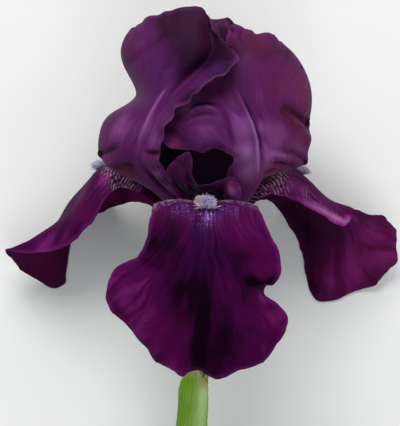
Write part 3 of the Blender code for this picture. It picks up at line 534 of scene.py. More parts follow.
def back_standard_rows():
    """Rows of seven points across the back standard, bowed towards the back."""
    cage = []
    across = np.linspace(1.0, -1.0, 7)
    sides = np.sin(across * BACK_STANDARD_WRAP) / math.sin(BACK_STANDARD_WRAP)
    for i, (y, z, half_width, forward) in enumerate(BACK_STANDARD):
        shift = BACK_STANDARD_TIP_SHIFT * i / (len(BACK_STANDARD) - 1)
        places = zip(across, shift + half_width * sides)
        cage.append([(x, y, z + forward * s * s) for s, x in places])
    return cage


def unit(vectors):
    return vectors / np.maximum(np.linalg.norm(vectors, axis=-1, keepdims=True), 1e-9)


def walked(line):
    """How far along a line each of its points is."""
    return np.concatenate([[0.0], np.cumsum(np.linalg.norm(np.diff(line, axis=0), axis=1))])


def read_along(line, gone, wanted):
    """Points of a line at the wanted distances along it."""
    return np.stack([np.interp(wanted, gone, column) for column in np.transpose(line)], axis=1)


def resample(line, count):
    """A smooth line through the given points, at even steps."""
    fine = natural_spline(line, np.linspace(0.0, 1.0, SPLINE_STEPS))
    gone = walked(fine)
    return read_along(fine, gone, np.linspace(0.0, gone[-1], count))


class Petal:
    """A thin sheet while it is shaped: its surface in millimetres from the junction, and its paint."""

    def __init__(self, cage, grid, seed, fan=STANDARD_FAN):
        self.u = np.linspace(0.0, 1.0, grid[0] + 1)
        self.v = np.linspace(0.0, 1.0, grid[1] + 1)
        self.points = sheet(cage, self.u, self.v)
        self.seed = seed
        self.spread = fan
        # Tone, the haft's white and redness; the tone holds painted light and shade.
        self.paint = np.zeros(self.points.shape)
        self.measure()

    def measure(self):
        """Finds each point's width, its distance to the margin, and the nearest place on the margin."""
        points = self.points
        steps = np.linalg.norm(np.diff(points, axis=1), axis=2)
        across = np.concatenate([np.zeros((len(points), 1)), np.cumsum(steps, axis=1)], axis=1)
        middle = len(self.u) // 2
        self.width = across[:, -1]
        self.from_midrib = across - across[:, middle : middle + 1]
        steps = np.linalg.norm(np.diff(points, axis=0), axis=2)
        self.length = np.concatenate([np.zeros((1, points.shape[1])), np.cumsum(steps, axis=0)])
        margin, inner = (
            np.concatenate([points[:, inset], points[-1 - inset, 1:-1], points[::-1, -1 - inset]])
            for inset in (0, 4)
        )
        self.outward = unit(margin - inner)
        self.arc = walked(margin)
        tree = kdtree.KDTree(len(margin))
        for i, point in enumerate(margin):
            tree.insert(point, i)
        tree.balance()
        found = [tree.find(point)[1:] for point in points.reshape(-1, 3)]
        self.nearest = np.array([i for i, gap in found]).reshape(points.shape[:2])
        self.edge = np.array([gap for i, gap in found]).reshape(points.shape[:2])

    def normals(self):
        along = np.gradient(self.points, axis=0)
        across = np.gradient(self.points, axis=1)
        return unit(np.cross(across, along))

    def up_normals(self):
        """Normals of whichever face looks up."""
        normals = self.normals()
        return normals * np.where(normals[..., 2:] < 0.0, -1.0, 1.0)

    def lift(self, x, y):
        """The topmost point of the surface near a place."""
        flat = np.hypot(self.points[..., 0] - x, self.points[..., 1] - y)
        reach = max(LIFT_REACH, flat.min() * 1.05)
        top = np.where(flat <= reach, self.points[..., 2], -np.inf).max()
        weight = np.exp(-((flat / (0.6 * reach)) ** 2)) * (self.points[..., 2] > top - LAYER_DEPTH)
        return np.einsum("ij,ijk->k", weight, self.points) / weight.sum()

    def trace(self, line):
        """Points on the surface along a line of places, closely spaced."""
        traced = []
        for (x0, y0), (x1, y1) in zip(line, line[1:]):
            count = max(2, int(math.hypot(x1 - x0, y1 - y0) / TRACE_STEP))
            for i in range(count):
                traced.append(self.lift(x0 + (x1 - x0) * i / count, y0 + (y1 - y0) * i / count))
        traced.append(self.lift(*line[-1]))
        return resample(traced[::3] + traced[-1:], 4 * len(traced))

    def grab(self, x, y, radius, move):
        """Pulls the surface softly."""
        away = np.linalg.norm(self.points - self.lift(x, y), axis=2) / radius
        weight = np.clip(1.0 - away**2, 0.0, 1.0) ** 2
        self.points = self.points + weight[..., None] * np.array(move)

    def crease(self, depth, width, light_and_tone, line, runs_out=False):
        """Sinks a fold, or raises a rib, along a line, with painted shade in folds and highlights on
        ribs.
        """
        traced = self.trace(line)
        place = np.linspace(0.0, 1.0, len(traced))
        best = np.full(self.points.shape[:2], np.inf)
        share = np.zeros(self.points.shape[:2])
        for point, t in zip(traced, place):
            away = np.linalg.norm(self.points - point, axis=2)
            closer = away < best
            best[closer] = away[closer]
            share[closer] = t
        taper = smooth(share, 0.0, 0.45)
        if not runs_out:
            taper *= 1.0 - smooth(share, 0.7, 1.0)
        profile = np.exp(-((best / width) ** 2)) * taper
        self.points = self.points - (depth * profile)[..., None] * self.up_normals()
        self.paint[..., 0] += light_and_tone * profile

    def dab(self, x, y, radius, light_and_tone, redness=0.0, haft=0.0):
        """Adds paint around a place, mostly painted light and shade."""
        away = np.linalg.norm(self.points - self.lift(x, y), axis=2) / radius
        weight = np.exp(-(away**2) * 1.5)
        self.paint = self.paint + weight[..., None] * np.array((light_and_tone, haft, redness))

    def wave(self, length, octave):
        """An uneven wave along the margin, from -1 to 1."""
        row = self.seed + octave
        return np.array([1.7 * noise.noise(Vector((s / length, row, 0.3))) for s in self.arc])

    def ruffle(self, height, length, reach, ragged):
        """Waves the margins across the surface, and makes their outline uneven."""
        grown = smooth(self.v[:, None], 0.08, 0.35)
        swing = sum(share * self.wave(length * part, octave) for share, part, octave in RUFFLE_WAVES)
        fade = np.exp(-((self.edge / reach) ** 1.5)) * grown
        rough = ragged * sum(share * self.wave(short, octave) for share, short, octave in RAGGED_WAVES)
        near = np.exp(-((self.edge / RAGGED_REACH) ** 2)) * grown
        self.points = (
            self.points
            + (height * swing[self.nearest] * fade)[..., None] * self.normals()
            + (rough[self.nearest] * near)[..., None] * self.outward[self.nearest]
        )

    def undulate(self, height, period):
        """Gives the whole surface a slow unevenness."""
        flat = self.points.reshape(-1, 3) / period
        lumps = np.array([noise.noise(Vector(p) + Vector((0.0, self.seed, 0.0))) for p in flat])
        rise = height * lumps.reshape(self.edge.shape) * smooth(self.edge, 0.0, MARGIN_FADE)
        rise *= smooth(self.v[:, None], 0.05, 0.3)
        self.points = self.points + rise[..., None] * self.normals()

    def fan(self):
        """Which vein each point is on, counted from the midrib, and how far apart the veins are there.

        They run straight up the claw and then spread towards the margins.
        """
        start, turn, apart = self.spread
        past = np.maximum(self.length - start, 0.0)
        widening = np.hypot(turn, past) / turn
        slant = self.from_midrib * past / (turn * turn * widening**2)
        return self.from_midrib / (apart * widening), apart * widening / np.sqrt(1.0 + slant**2)

    def rest_on_floor(self):
        lowest = -FLOOR_DEPTH + TEPAL_THICKNESS / 2.0
        self.points[..., 2] = lowest + np.logaddexp(0.0, self.points[..., 2] - lowest)


def shell(name, petal, thickness):
    """A closed skin around a petal's surface, thinner towards its margins, with a rounded edge."""
    rows, columns = petal.edge.shape
    normals = petal.normals()
    thick = thickness * (MARGIN_SHARE + (1.0 - MARGIN_SHARE) * smooth(petal.edge, 0.0, MARGIN_FADE))
    half = (thick / 2.0)[..., None] * normals
    left = petal.points + half
    right = petal.points - half
    ids = np.arange(rows * columns).reshape(rows, columns)
    loop = np.concatenate([ids[0, :-1], ids[:-1, -1], ids[-1, :0:-1], ids[:0:-1, 0]])
    away = np.concatenate([
        petal.points[0, :-1] - petal.points[1, :-1],
        petal.points[:-1, -1] - petal.points[:-1, -2],
        petal.points[-1, :0:-1] - petal.points[-2, :0:-1],
        petal.points[:0:-1, 0] - petal.points[:0:-1, 1],
    ])
    rim = petal.points.reshape(-1, 3)[loop] + unit(away) * thick.reshape(-1)[loop, None] * RIM_BULGE
    count = rows * columns
    a, b, c, d = ids[:-1, :-1], ids[:-1, 1:], ids[1:, 1:], ids[1:, :-1]
    front = np.stack([a, b, c, d], axis=-1).reshape(-1, 4)
    back = np.stack([a, d, c, b], axis=-1).reshape(-1, 4) + count
    edge_ids = 2 * count + np.arange(len(loop))
    following = np.roll(np.arange(len(loop)), -1)
    upper = np.stack([loop, edge_ids, edge_ids[following], loop[following]], axis=-1)
    lower = np.stack([edge_ids, loop + count, loop[following] + count, edge_ids[following]], axis=-1)
    places = np.concatenate([left.reshape(-1, 3), right.reshape(-1, 3), rim])
    made = build(name, places, np.concatenate([front, back, upper, lower]))
    fan, spacing = petal.fan()
    chevron = petal.length[:, len(petal.u) // 2][:, None] - CHEVRON_SLANT * np.abs(petal.from_midrib)
    lay = np.stack([fan, spacing, chevron], axis=-1).reshape(-1, 3)
    paint = petal.paint.reshape(-1, 3)
    right_side = np.stack([np.zeros(count), petal.edge.reshape(-1), np.repeat(petal.v, columns)], axis=-1)
    back = np.array((1.0, 0.0, 0.0))
    for key, values in (("lay", lay), ("paint", paint)):
        give(made, key, np.concatenate([values, values, values[loop]]))
    give(made, "side", np.concatenate([right_side + back, right_side, right_side[loop] + 0.5 * back]))
    return made


def build(name, places, faces, sharp=SHEET_SHARP):
    """A mesh object from places in millimetres from the junction."""
    mesh = bpy.data.meshes.new(name)
    corners = [[int(corner) for corner in face] for face in faces]
    mesh.from_pydata(((places + JUNCTION) * MM).tolist(), [], corners)
    mesh.validate()
    mesh.shade_smooth()
    mesh.set_sharp_from_angle(angle=math.radians(sharp))
    thing = bpy.data.objects.new(name, mesh)
    bpy.context.scene.collection.objects.link(thing)
    return thing


def give(thing, name, values):
    """Stores three numbers at each vertex, for the materials."""
    made = thing.data.attributes.new(name, "FLOAT_VECTOR", "POINT")
    made.data.foreach_set("vector", np.ascontiguousarray(values, dtype=np.float32).reshape(-1))


def settle(thing, node, material):
    """Puts a finished piece in a CAD node's place."""
    thing.data.materials.append(material)
    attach(thing, BODY)
    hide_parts(node)


class Wire:
    """A number that flows between shader nodes: arithmetic on it adds Math nodes."""

    def __init__(self, tree, socket):
        self.tree = tree
        self.socket = socket

    def __add__(self, other):
        return self.tree.math("ADD", self, other)

    def __sub__(self, other):
        return self.tree.math("SUBTRACT", self, other)

    def __rsub__(self, other):
        return self.tree.math("SUBTRACT", other, self)

    def __mul__(self, other):
        return self.tree.math("MULTIPLY", self, other)

    def __truediv__(self, other):
        return self.tree.math("DIVIDE", self, other)

    def __rtruediv__(self, other):
        return self.tree.math("DIVIDE", other, self)


class Tree:
    """Short names for the shader nodes that a material is built from."""

    def __init__(self, name):
        self.material = bpy.data.materials.new(name)
        self.material.use_nodes = True
        self.nodes = self.material.node_tree.nodes
        self.links = self.material.node_tree.links
        self.nodes.clear()

    def add(self, kind, inputs=(), **settings):
        node = self.nodes.new("ShaderNode" + kind)
        for key, value in settings.items():
            setattr(node, key, value)
        for key, value in dict(inputs).items():
            value = getattr(value, "socket", value)
            if isinstance(value, bpy.types.NodeSocket):
                self.links.new(value, node.inputs[key])
            else:
                node.inputs[key].default_value = value
        return node

    def math(self, operation, first, second=0.0, third=0.0, clamp=False):
        node = self.add("Math", {0: first, 1: second, 2: third}, operation=operation, use_clamp=clamp)
        return Wire(self, node.outputs[0])

    def held(self, first, second):
        """A product held between 0 and 1."""
        return self.math("MULTIPLY", first, second, clamp=True)

    def step(self, value, low, high, start=0.0, end=1.0):
        inputs = {"Value": value, "From Min": low, "From Max": high, "To Min": start, "To Max": end}
        return Wire(self, self.add("MapRange", inputs, interpolation_type="SMOOTHSTEP").outputs[0])

    def mix(self, share, first, second):
        """Two colours mixed. Those written as three numbers are screen colours."""
        colours = (srgb(*c) if isinstance(c, tuple) and len(c) == 3 else c for c in (first, second))
        return self.add("Mix", dict(zip((0, 6, 7), (share, *colours))), data_type="RGBA").outputs[2]

    def coats(self, colour, *coats):
        """A colour under coats of others, each with the share that it covers."""
        for share, over in coats:
            colour = self.mix(share, colour, over)
        return colour

    def split(self, name):
        node = self.add("Attribute", attribute_name=name)
        parts = self.add("SeparateXYZ", {0: node.outputs["Vector"]}).outputs[:3]
        return [Wire(self, part) for part in parts]

    def join(self, x, y, z=0.0):
        return self.add("CombineXYZ", {0: x, 1: y, 2: z}).outputs[0]

    def place(self):
        """The place in the frame, in millimetres."""
        spot = self.add("TexCoord").outputs["Object"]
        return self.add("VectorMath", {0: spot, "Scale": 1.0 / MM}, operation="SCALE").outputs[0]

    def noise(self, where, period, detail=2.0, roughness=0.5):
        inputs = {"Vector": where, "Scale": 1.0 / period, "Detail": detail, "Roughness": roughness}
        return Wire(self, self.add("TexNoise", inputs).outputs["Fac"])

    def line(self, value, width):
        """1 on each whole number, falling to 0 at width away from it, where the half-way point is 1."""
        away = self.math("PINGPONG", value, 0.5) * 2.0
        return 1.0 - self.step(away, 0.0, width)

    def bump(self, height, strength, distance):
        """The input that makes a skin bumpy."""
        inputs = {"Height": height, "Strength": strength, "Distance": distance * MM}
        return {"Normal": self.add("Bump", inputs).outputs[0]}

    def skin(self, colour, roughness, normal=(), translucence=0.0, glow=None, **gloss):
        """The finished material: a skin that may be bumpy, glossy or let some light through."""
        inputs = {key.replace("_", " "): value for key, value in gloss.items()}
        inputs |= {"Base Color": colour, "Roughness": roughness} | dict(normal)
        shader = self.add("BsdfPrincipled", inputs).outputs[0]
        if translucence:
            inputs = {"Color": colour if glow is None else glow} | dict(normal)
            through = self.add("BsdfTranslucent", inputs).outputs[0]
            shader = self.add("MixShader", {0: translucence, 1: shader, 2: through}).outputs[0]
        self.add("OutputMaterial", {"Surface": shader})
        return self.material


def petal_material(
        name, dark, ground, bright, vein, pale, lilac, line, warm, cool, under, glow, vein_share,
        sheen, sheen_tint, roughness=0.62, translucence=0.12, specular=0.1,
        gloss_tint=(1.0, 0.7, 1.0, 1.0), back_share=0.1, streakiness=0.9):
    """Velvety or silky petal: mottled ground, forking veins, a striped haft and a duller back."""
    t = Tree(name)
    place = t.place()
    light_and_tone, haft, redness = t.split("paint")
    fan, spacing, chevron = t.split("lay")
    back, edge, along = t.split("side")
    fan = fan + (t.noise(place, 9.0) - 0.5) * 1.6
    veins = t.line(fan, 0.85 / spacing)
    for fork in (1, 2, 3):
        share = 2.0**fork
        fine = t.line(fan * share, t.math("DIVIDE", 0.7 * share, spacing, clamp=True))
        fine = fine * t.step(spacing, 0.8 * share, 1.3 * share)
        veins = t.math("MAXIMUM", veins, fine * (1.0 - 0.18 * fork))
    streaks = t.noise(t.join(fan * 1.4, along * 5.0, 1.7), 1.0, 3.0)
    mottle = t.noise(place, 15.0, 3.0)
    # The level runs from dark through ground to bright: the paint's tone, which is painted light and
    # painted shade, with random streaks and mottling.
    level = light_and_tone + (streaks - 0.5) * streakiness + (mottle - 0.5) * 0.7
    level = t.math("MULTIPLY_ADD", level, 0.5, 0.5, clamp=True)
    shown = t.step(t.noise(place, 11.0, 3.0), 0.3, 0.65, 0.35 * vein_share, vein_share)

    # The haft: broken pale stripes, lavender between the veins, and pale specks.
    wander = (t.noise(place, 3.0) - 0.5) * 1.6
    stripes = t.line((chevron + wander) / 1.5, 0.75)
    broken = t.step(t.noise(place, 1.6, 2.0), 0.35, 0.62)
    inside = 1.0 - back
    lavender = t.held(haft, -0.8) * t.step(streaks, 0.38, 0.68)
    specks = t.math("ABSOLUTE", haft) * t.step(t.noise(place, 0.9, 1.0), 0.60, 0.70) * inside

    colour = t.coats(
        dark,
        (t.step(level, 0.0, 0.5), ground),
        (t.step(level, 0.5, 1.0), bright),
        # Where the tone runs highest it takes the line colour: a painted highlight along ribs and lit
        # ridges.
        (t.step(light_and_tone, 0.9, 1.9), line),
        # Redness warms the colour, partly as painted light on parts that lie in shade.
        (t.held(redness, 0.6), warm),
        (t.held(redness, -0.6), cool),
        (veins * shown, vein),
        (t.held(haft * (stripes * broken), 0.75) * inside, pale),
        (lavender * t.math("MULTIPLY_ADD", veins, -0.6, 1.0), lilac),
        (t.held(specks, 0.4), pale),
        # A painted highlight along the margins.
        (t.step(edge, 2.4, 0.0) * 0.22, bright),
    )
    back_colour = t.coats(
        under,
        (veins * vein_share, vein),
        # The back takes the same painted shade and light.
        (t.step(level, 0.5, 0.1, 0.0, 0.7), dark),
        (t.step(level, 0.5, 1.0, 0.0, 0.7), bright),
        (t.held(redness, 0.5), warm),
    )
    colour = t.mix(back * back_share, colour, back_colour)

    cells = t.noise(place, 0.28, 2.0, 0.6)
    relief = veins * 0.6 + cells * 0.35 + t.noise(place, 1.1, 2.0) * 0.5 + streaks * 0.5
    return t.skin(
        colour, t.math("MULTIPLY_ADD", cells, 0.16, roughness - 0.08), t.bump(relief, 0.55, 0.16),
        translucence, t.mix(0.35, colour, glow), Specular_IOR_Level=specular, Specular_Tint=gloss_tint,
        Sheen_Weight=sheen, Sheen_Roughness=0.45, Sheen_Tint=sheen_tint)


def beard_material(name, root, tip):
    """Soft hairs in tufts, darker at their roots, with cream tips along the beard's left side."""
    t = Tree(name)
    along, shade, cream = t.split("hair")
    place = t.place()
    colour = t.coats(
        root,
        (t.step(along, 0.1, 0.9), tip),
        (shade * 0.45, (150, 132, 184)),
        (t.noise(place, 0.5) * 0.12, (238, 226, 196)),
        (t.step(t.noise(place, 1.5), 0.48, 0.62) * 0.5, (128, 112, 160)),
        (cream * t.step(along, 0.2, 0.8), (226, 200, 176)),
    )
    return t.skin(colour, 0.55, translucence=0.3, Specular_IOR_Level=0.35, Sheen_Weight=0.2,
                  Sheen_Tint=(1.0, 0.96, 1.0, 1.0))


def stalk_material(name):
    """Waxy skin with fine lengthwise ridges, blotches and a pale bloom."""
    ground, light, deep, tint, tint_share, bloom = STALK_SKINS[name]
    t = Tree(name)
    place = t.place()
    angle, along, _ = t.split("lay")
    ribs = t.noise(t.join(angle * 9.0, along * 0.08), 1.0, 3.0, 0.6)
    fine = t.noise(t.join(angle * 26.0, along * 0.25), 1.0, 2.0)
    blotch = t.noise(place, 9.0, 3.0, 0.6)
    colour = t.coats(
        deep,
        (t.step(ribs, 0.3, 0.7), ground),
        (t.step(fine, 0.45, 0.75) * 0.5, light),
        (t.step(blotch, 0.45, 0.75) * tint_share, tint),
        (t.step(t.noise(place, 0.7, 2.0), 0.66, 0.74) * 0.25, deep),
        (t.noise(place, 3.5, 4.0, 0.7) * bloom, (200, 214, 190)),
    )
    relief = t.bump(ribs * 0.7 + fine * 0.3, 0.5, 0.2)
    return t.skin(colour, t.math("MULTIPLY_ADD", blotch, 0.2, 0.4), relief, Specular_IOR_Level=0.35)


def spathe_material():
    """A bract: green and veined at its foot and middle, dry and papery towards its margins and tip."""
    t = Tree("spathe_paper")
    place = t.place()
    light_and_tone, dryness, redness = t.split("paint")
    fan = t.split("lay")[0]
    _, edge, along = t.split("side")
    veins = t.line(fan * 3.0, 0.45)
    streaks = t.noise(t.join(fan * 4.0, along * 2.5), 1.0, 3.0)
    green = t.coats(
        (98, 148, 8),
        (t.step(streaks, 0.3, 0.7), (148, 196, 62)),
        (veins * 0.2, (86, 130, 24)),
        (t.held(light_and_tone, t.step(streaks, 0.3, 0.7, 0.6, 0.85)), (206, 238, 156)),
    )
    dry = t.coats(
        (186, 166, 120),
        (t.step(streaks, 0.3, 0.75), (214, 200, 160)),
        (veins * 0.5, (140, 112, 72)),
        (t.step(t.noise(place, 2.2, 3.0), 0.55, 0.7) * 0.5, (120, 84, 58)),
    )
    share = t.step(edge, 1.3, 0.1, 0.0, 0.9) + dryness + t.step(along, 0.86, 1.05)
    share = t.math("ADD", share, (t.noise(place, 6.0, 3.0) - 0.5) * 0.9, clamp=True)
    colour = t.coats(green, (share, dry), (t.held(redness, 0.5), (120, 70, 96)))
    relief = t.bump(veins * 0.6 + streaks * 0.6, 0.6, 0.2)
    return t.skin(colour, 0.6, relief, 0.25, Specular_IOR_Level=0.12)


def anther_material():
    t = Tree("anther_pollen")
    grains = t.noise(t.place(), 0.22, 2.0, 0.7)
    colour = t.mix(t.step(grains, 0.4, 0.65), (168, 150, 120), (232, 220, 184))
    return t.skin(colour, 0.85, t.bump(grains, 0.9, 0.25))


def sculpt(name, petal, unevenness=TEPAL_UNEVENNESS):
    """Works a petal over its cage: soft pulls, folds, paint, a slow unevenness and ruffled margins."""
    petal.undulate(*unevenness)
    petal.ruffle(*RUFFLES[name])
    for work, table in ((petal.grab, GRABS), (petal.crease, CREASES), (petal.dab, DABS)):
        for row in table.get(name, []):
            work(*row)


def make_falls():
    velvet = petal_material(
        "fall_velvet", dark=(10, 0, 8), ground=(60, 4, 54), bright=(128, 38, 116), vein=(26, 0, 28),
        pale=(212, 186, 210), lilac=(128, 98, 172), line=(140, 88, 132), warm=(112, 14, 72),
        cool=(42, 8, 62), under=(58, 14, 48), glow=(130, 6, 50), vein_share=0.25, sheen=0.05,
        sheen_tint=(0.60, 0.06, 0.55, 1.0), specular=0.05, gloss_tint=(1.0, 0.3, 0.9, 1.0),
        translucence=0.06, back_share=0.8, streakiness=1.3)
    rows = {"front": FRONT_FALL, "right": RIGHT_FALL, "left": LEFT_FALL}
    petals = {}
    for side, azimuth in FALL_AZIMUTHS.items():
        name = "fall_" + side
        cage = bowed_rows(rows[side], claw_base(azimuth, 5))
        petals[side] = petal = Petal(cage, TEPAL_GRID, SEEDS[name], FALL_FAN)
        start, end, white = HAFTS[name]
        haft = smooth(petal.v, start - HAFT_STARTS[0], start + HAFT_STARTS[1])
        haft *= 1.0 - smooth(petal.v, end - HAFT_ENDS[0], end + HAFT_ENDS[1])
        petal.paint[..., 1] = white * haft[:, None]
        sculpt(name, petal)
        petal.rest_on_floor()
        settle(shell(name + "_petal", petal, TEPAL_THICKNESS), name, velvet)
    return petals


def make_standards():
    silk = petal_material(
        "standard_silk", dark=(26, 1, 28), ground=(78, 22, 77), bright=(122, 62, 120), vein=(52, 8, 54),
        pale=(180, 150, 186), lilac=(150, 110, 170), line=(150, 100, 158), warm=(98, 30, 62),
        cool=(84, 38, 108), under=(70, 18, 66), glow=(150, 14, 70), vein_share=0.16, sheen=0.08,
        sheen_tint=(0.60, 0.16, 0.60, 1.0), roughness=0.58, translucence=0.15)
    rows = {"left": LEFT_STANDARD, "right": RIGHT_STANDARD, "back": back_standard_rows()}
    for side, azimuth in STANDARD_AZIMUTHS.items():
        name = "standard_" + side
        petal = Petal([claw_base(azimuth, 7)] + rows[side], TEPAL_GRID, SEEDS[name])
        sculpt(name, petal)
        settle(shell(name + "_petal", petal, TEPAL_THICKNESS), name, silk)


def make_styles():
    flesh = petal_material(
        "style_petal", dark=(20, 1, 18), ground=(56, 8, 50), bright=(102, 40, 96), vein=(34, 4, 32),
        pale=(180, 150, 180), lilac=(150, 110, 170), line=(140, 90, 140), warm=(104, 24, 60),
        cool=(60, 20, 80), under=(54, 16, 50), glow=(130, 20, 70), vein_share=0.2, sheen=0.08,
        sheen_tint=(0.60, 0.16, 0.60, 1.0), roughness=0.5)
    for side, azimuth in FALL_AZIMUTHS.items():
        name = "style_arm_" + side
        rows = FRONT_STYLE_ARM if side == "front" else STYLE_ARM
        cage = [[around_axis(azimuth, *point) for point in row] for row in rows]
        petal = Petal(cage, STYLE_GRID, SEEDS[name], STYLE_FAN)
        sculpt(name, petal, STYLE_UNEVENNESS)
        settle(shell(name + "_crest", petal, STYLE_THICKNESS), name, flesh)
    depth, lobes = COLUMN_LOBES
    rod = sweep(
        "style_column_core", [h * AXIS for h in np.linspace(SEAT_GAP, COLUMN_HEIGHT, COLUMN_STEPS)],
        lambda turn, t: COLUMN_RADIUS * (1.0 - 0.2 * t**3) * (1.0 + depth * math.cos(lobes * turn)),
        COLUMN_SIDES)
    settle(rod, "style_column", flesh)


def ring_faces(first, rings, sides):
    """The faces that join rings of points, which are numbered from the first."""
    faces = []
    for start in range(first, first + (rings - 1) * sides, sides):
        for k in range(sides):
            a, b = start + k, start + (k + 1) % sides
            faces.append((a, b, b + sides, a + sides))
    return faces


def sweep(name, line, radius, sides):
    """A closed rod along a line of points.

    Its radius is a function of the angle round it and of the share of its length.
    """
    line = np.array(line)
    ahead = unit(np.gradient(line, axis=0))
    start = FRONT if abs(ahead[0] @ FRONT) < 0.8 else RIGHT
    places, lay = [], []
    for i, (point, way, length) in enumerate(zip(line, ahead, walked(line))):
        first = unit(start - way * (start @ way))
        second = np.cross(way, first)
        t = i / (len(line) - 1)
        for turn in np.linspace(0.0, 2.0 * math.pi, sides, endpoint=False):
            r = radius(turn, t)
            places.append(point + r * (math.cos(turn) * first + math.sin(turn) * second))
            lay.append((min(turn, 2.0 * math.pi - turn), length, r))
    faces = ring_faces(0, len(line), sides)
    count = len(places)
    places += [line[0], line[-1]]
    lay += [(0.0, 0.0, 0.0), (0.0, length, 0.0)]
    last = count - sides
    for k in range(sides):
        following = (k + 1) % sides
        faces += [(count, following, k), (count + 1, last + k, last + following)]
    made = build(name, np.array(places), faces, ROD_SHARP)
    give(made, "lay", lay)
    for key in ("paint", "side"):
        give(made, key, np.zeros((len(places), 3)))
    return made


def make_stamens():
    kinds = (
        ("filament", FILAMENT, 0.0, "filament_flesh", stalk_material("filament_flesh")),
        ("anther", ANTHER, ANTHER_GROOVE, "anther_pollen", anther_material()),
    )
    for side, azimuth in FALL_AZIMUTHS.items():
        for kind, rods, groove, slot, material in kinds:
            line = [(*around_axis(azimuth, 0.0, out, up), radius) for out, up, radius in rods]
            line = resample(line, STAMEN_STEPS)
            rod = sweep(
                f"{kind}_{side}_rod", line[:, :3],
                lambda turn, t, groove=groove, radii=line[:, 3]: radii[int(t * (STAMEN_STEPS - 1))]
                * (1.0 - groove * abs(math.cos(turn)) ** 6), STAMEN_SIDES)
            settle(rod, f"{kind}_{side}", material)


def hair_mesh(name, hairs):
    """Many short blunt hairs as one mesh of closed, tapering rods.

    Each is its root, way, bend, length and radius, then what its material reads.
    """
    places, faces, values = [], [], []
    for root, way, bend, length, radius, *tint in hairs:
        side = unit(np.cross(way, (0.31, 0.83, 0.47)))
        other = np.cross(way, side)
        base = len(places)
        for t, share in HAIR_TAPER:
            centre = root + length * (way * t + bend * t * t)
            for k in range(HAIR_SIDES):
                turn = 2.0 * math.pi * k / HAIR_SIDES
                around = math.cos(turn) * side + math.sin(turn) * other
                places.append(centre + radius * share * around)
                values.append((t, *tint))
        tip = len(places)
        places.append(root + length * (way + bend))
        values.append((1.0, *tint))
        faces += ring_faces(base, len(HAIR_TAPER), HAIR_SIDES)
        last = tip - HAIR_SIDES
        faces += [(last + k, last + (k + 1) % HAIR_SIDES, tip) for k in range(HAIR_SIDES)]
        faces.append(range(base + HAIR_SIDES - 1, base - 1, -1))
    made = build(name, np.array(places), faces, HAIR_SHARP)
    give(made, "hair", values)
    return made


def make_beards(falls):
    lilac = beard_material("beard_front_hair", (132, 106, 190), (238, 232, 250))
    bluish = beard_material("beard_side_hair", (176, 170, 206), (216, 216, 236))
    for side, petal in falls.items():
        start, end = BEARD_SPANS[side]
        random = np.random.default_rng(11 + len(side))
        count = BEARD_HAIRS
        # Where they stand: more of them towards the far end, in a strip that widens to it.
        share = random.random(count) ** 0.8
        along = start + (end - start + 0.018) * share
        half = 1.4 + 1.4 * share
        across = random.triangular(-1.0, 0.08, 1.0, count) * half
        rows = (along * (len(petal.v) - 1)).astype(int)
        mid = len(petal.u) // 2
        cell = petal.width[rows] / (len(petal.u) - 1)
        columns = (mid + across / cell).round().astype(int)
        roots = petal.points[rows, columns]
        normal = -petal.normals()[rows, columns]
        ahead = unit(np.gradient(petal.points, axis=0))[rows, columns]
        sideways = np.cross(normal, ahead)
        # How they stand: spread to both sides, leaning forward, longer towards the far end.
        lean = across / half * (0.5 + 0.6 * share) + random.normal(0.0, 0.16, count)
        forward = 0.15 + 0.3 * share**2 + random.normal(0.0, 0.2, count)
        ways = unit(normal + lean[:, None] * sideways + forward[:, None] * ahead)
        bends = random.normal(0.0, 0.10, (count, 3)) + 0.12 * ahead
        lengths = (2.4 + 1.5 * share**3) * random.uniform(0.74, 1.06, count)
        radii = random.uniform(0.10, 0.17, count)
        shades = random.random(count)
        creams = np.full(count, SIDE_CREAM)
        if side == "front":
            creams = FRONT_CREAM * smooth(-roots[:, 0], -0.2, 2.6)
        made = hair_mesh(
            f"beard_{side}_hairs", zip(roots, ways, bends, lengths, radii, shades, creams))
        settle(made, "beard_" + side, lilac if side == "front" else bluish)


def stalk_frame():
    """The turn that takes a stalk built along +Z to the leaning stalk, and the heights of its parts."""
    lean = Matrix.Rotation(math.radians(-STEM_LEAN), 3, "Z")
    turn = np.array(lean @ Matrix.Rotation(TILT - math.pi / 2.0, 3, "X"))
    ovary_top = -TUBE_LENGTH - SEAT_GAP
    ovary_end = ovary_top - OVARY_LENGTH
    end_drop = math.cos(math.radians(STEM_LEAN)) * math.sin(TILT)
    stem_end = -(FLOOR_DEPTH - STEM_RADIUS * math.cos(TILT)) / end_drop
    return turn, ovary_top, ovary_end, stem_end


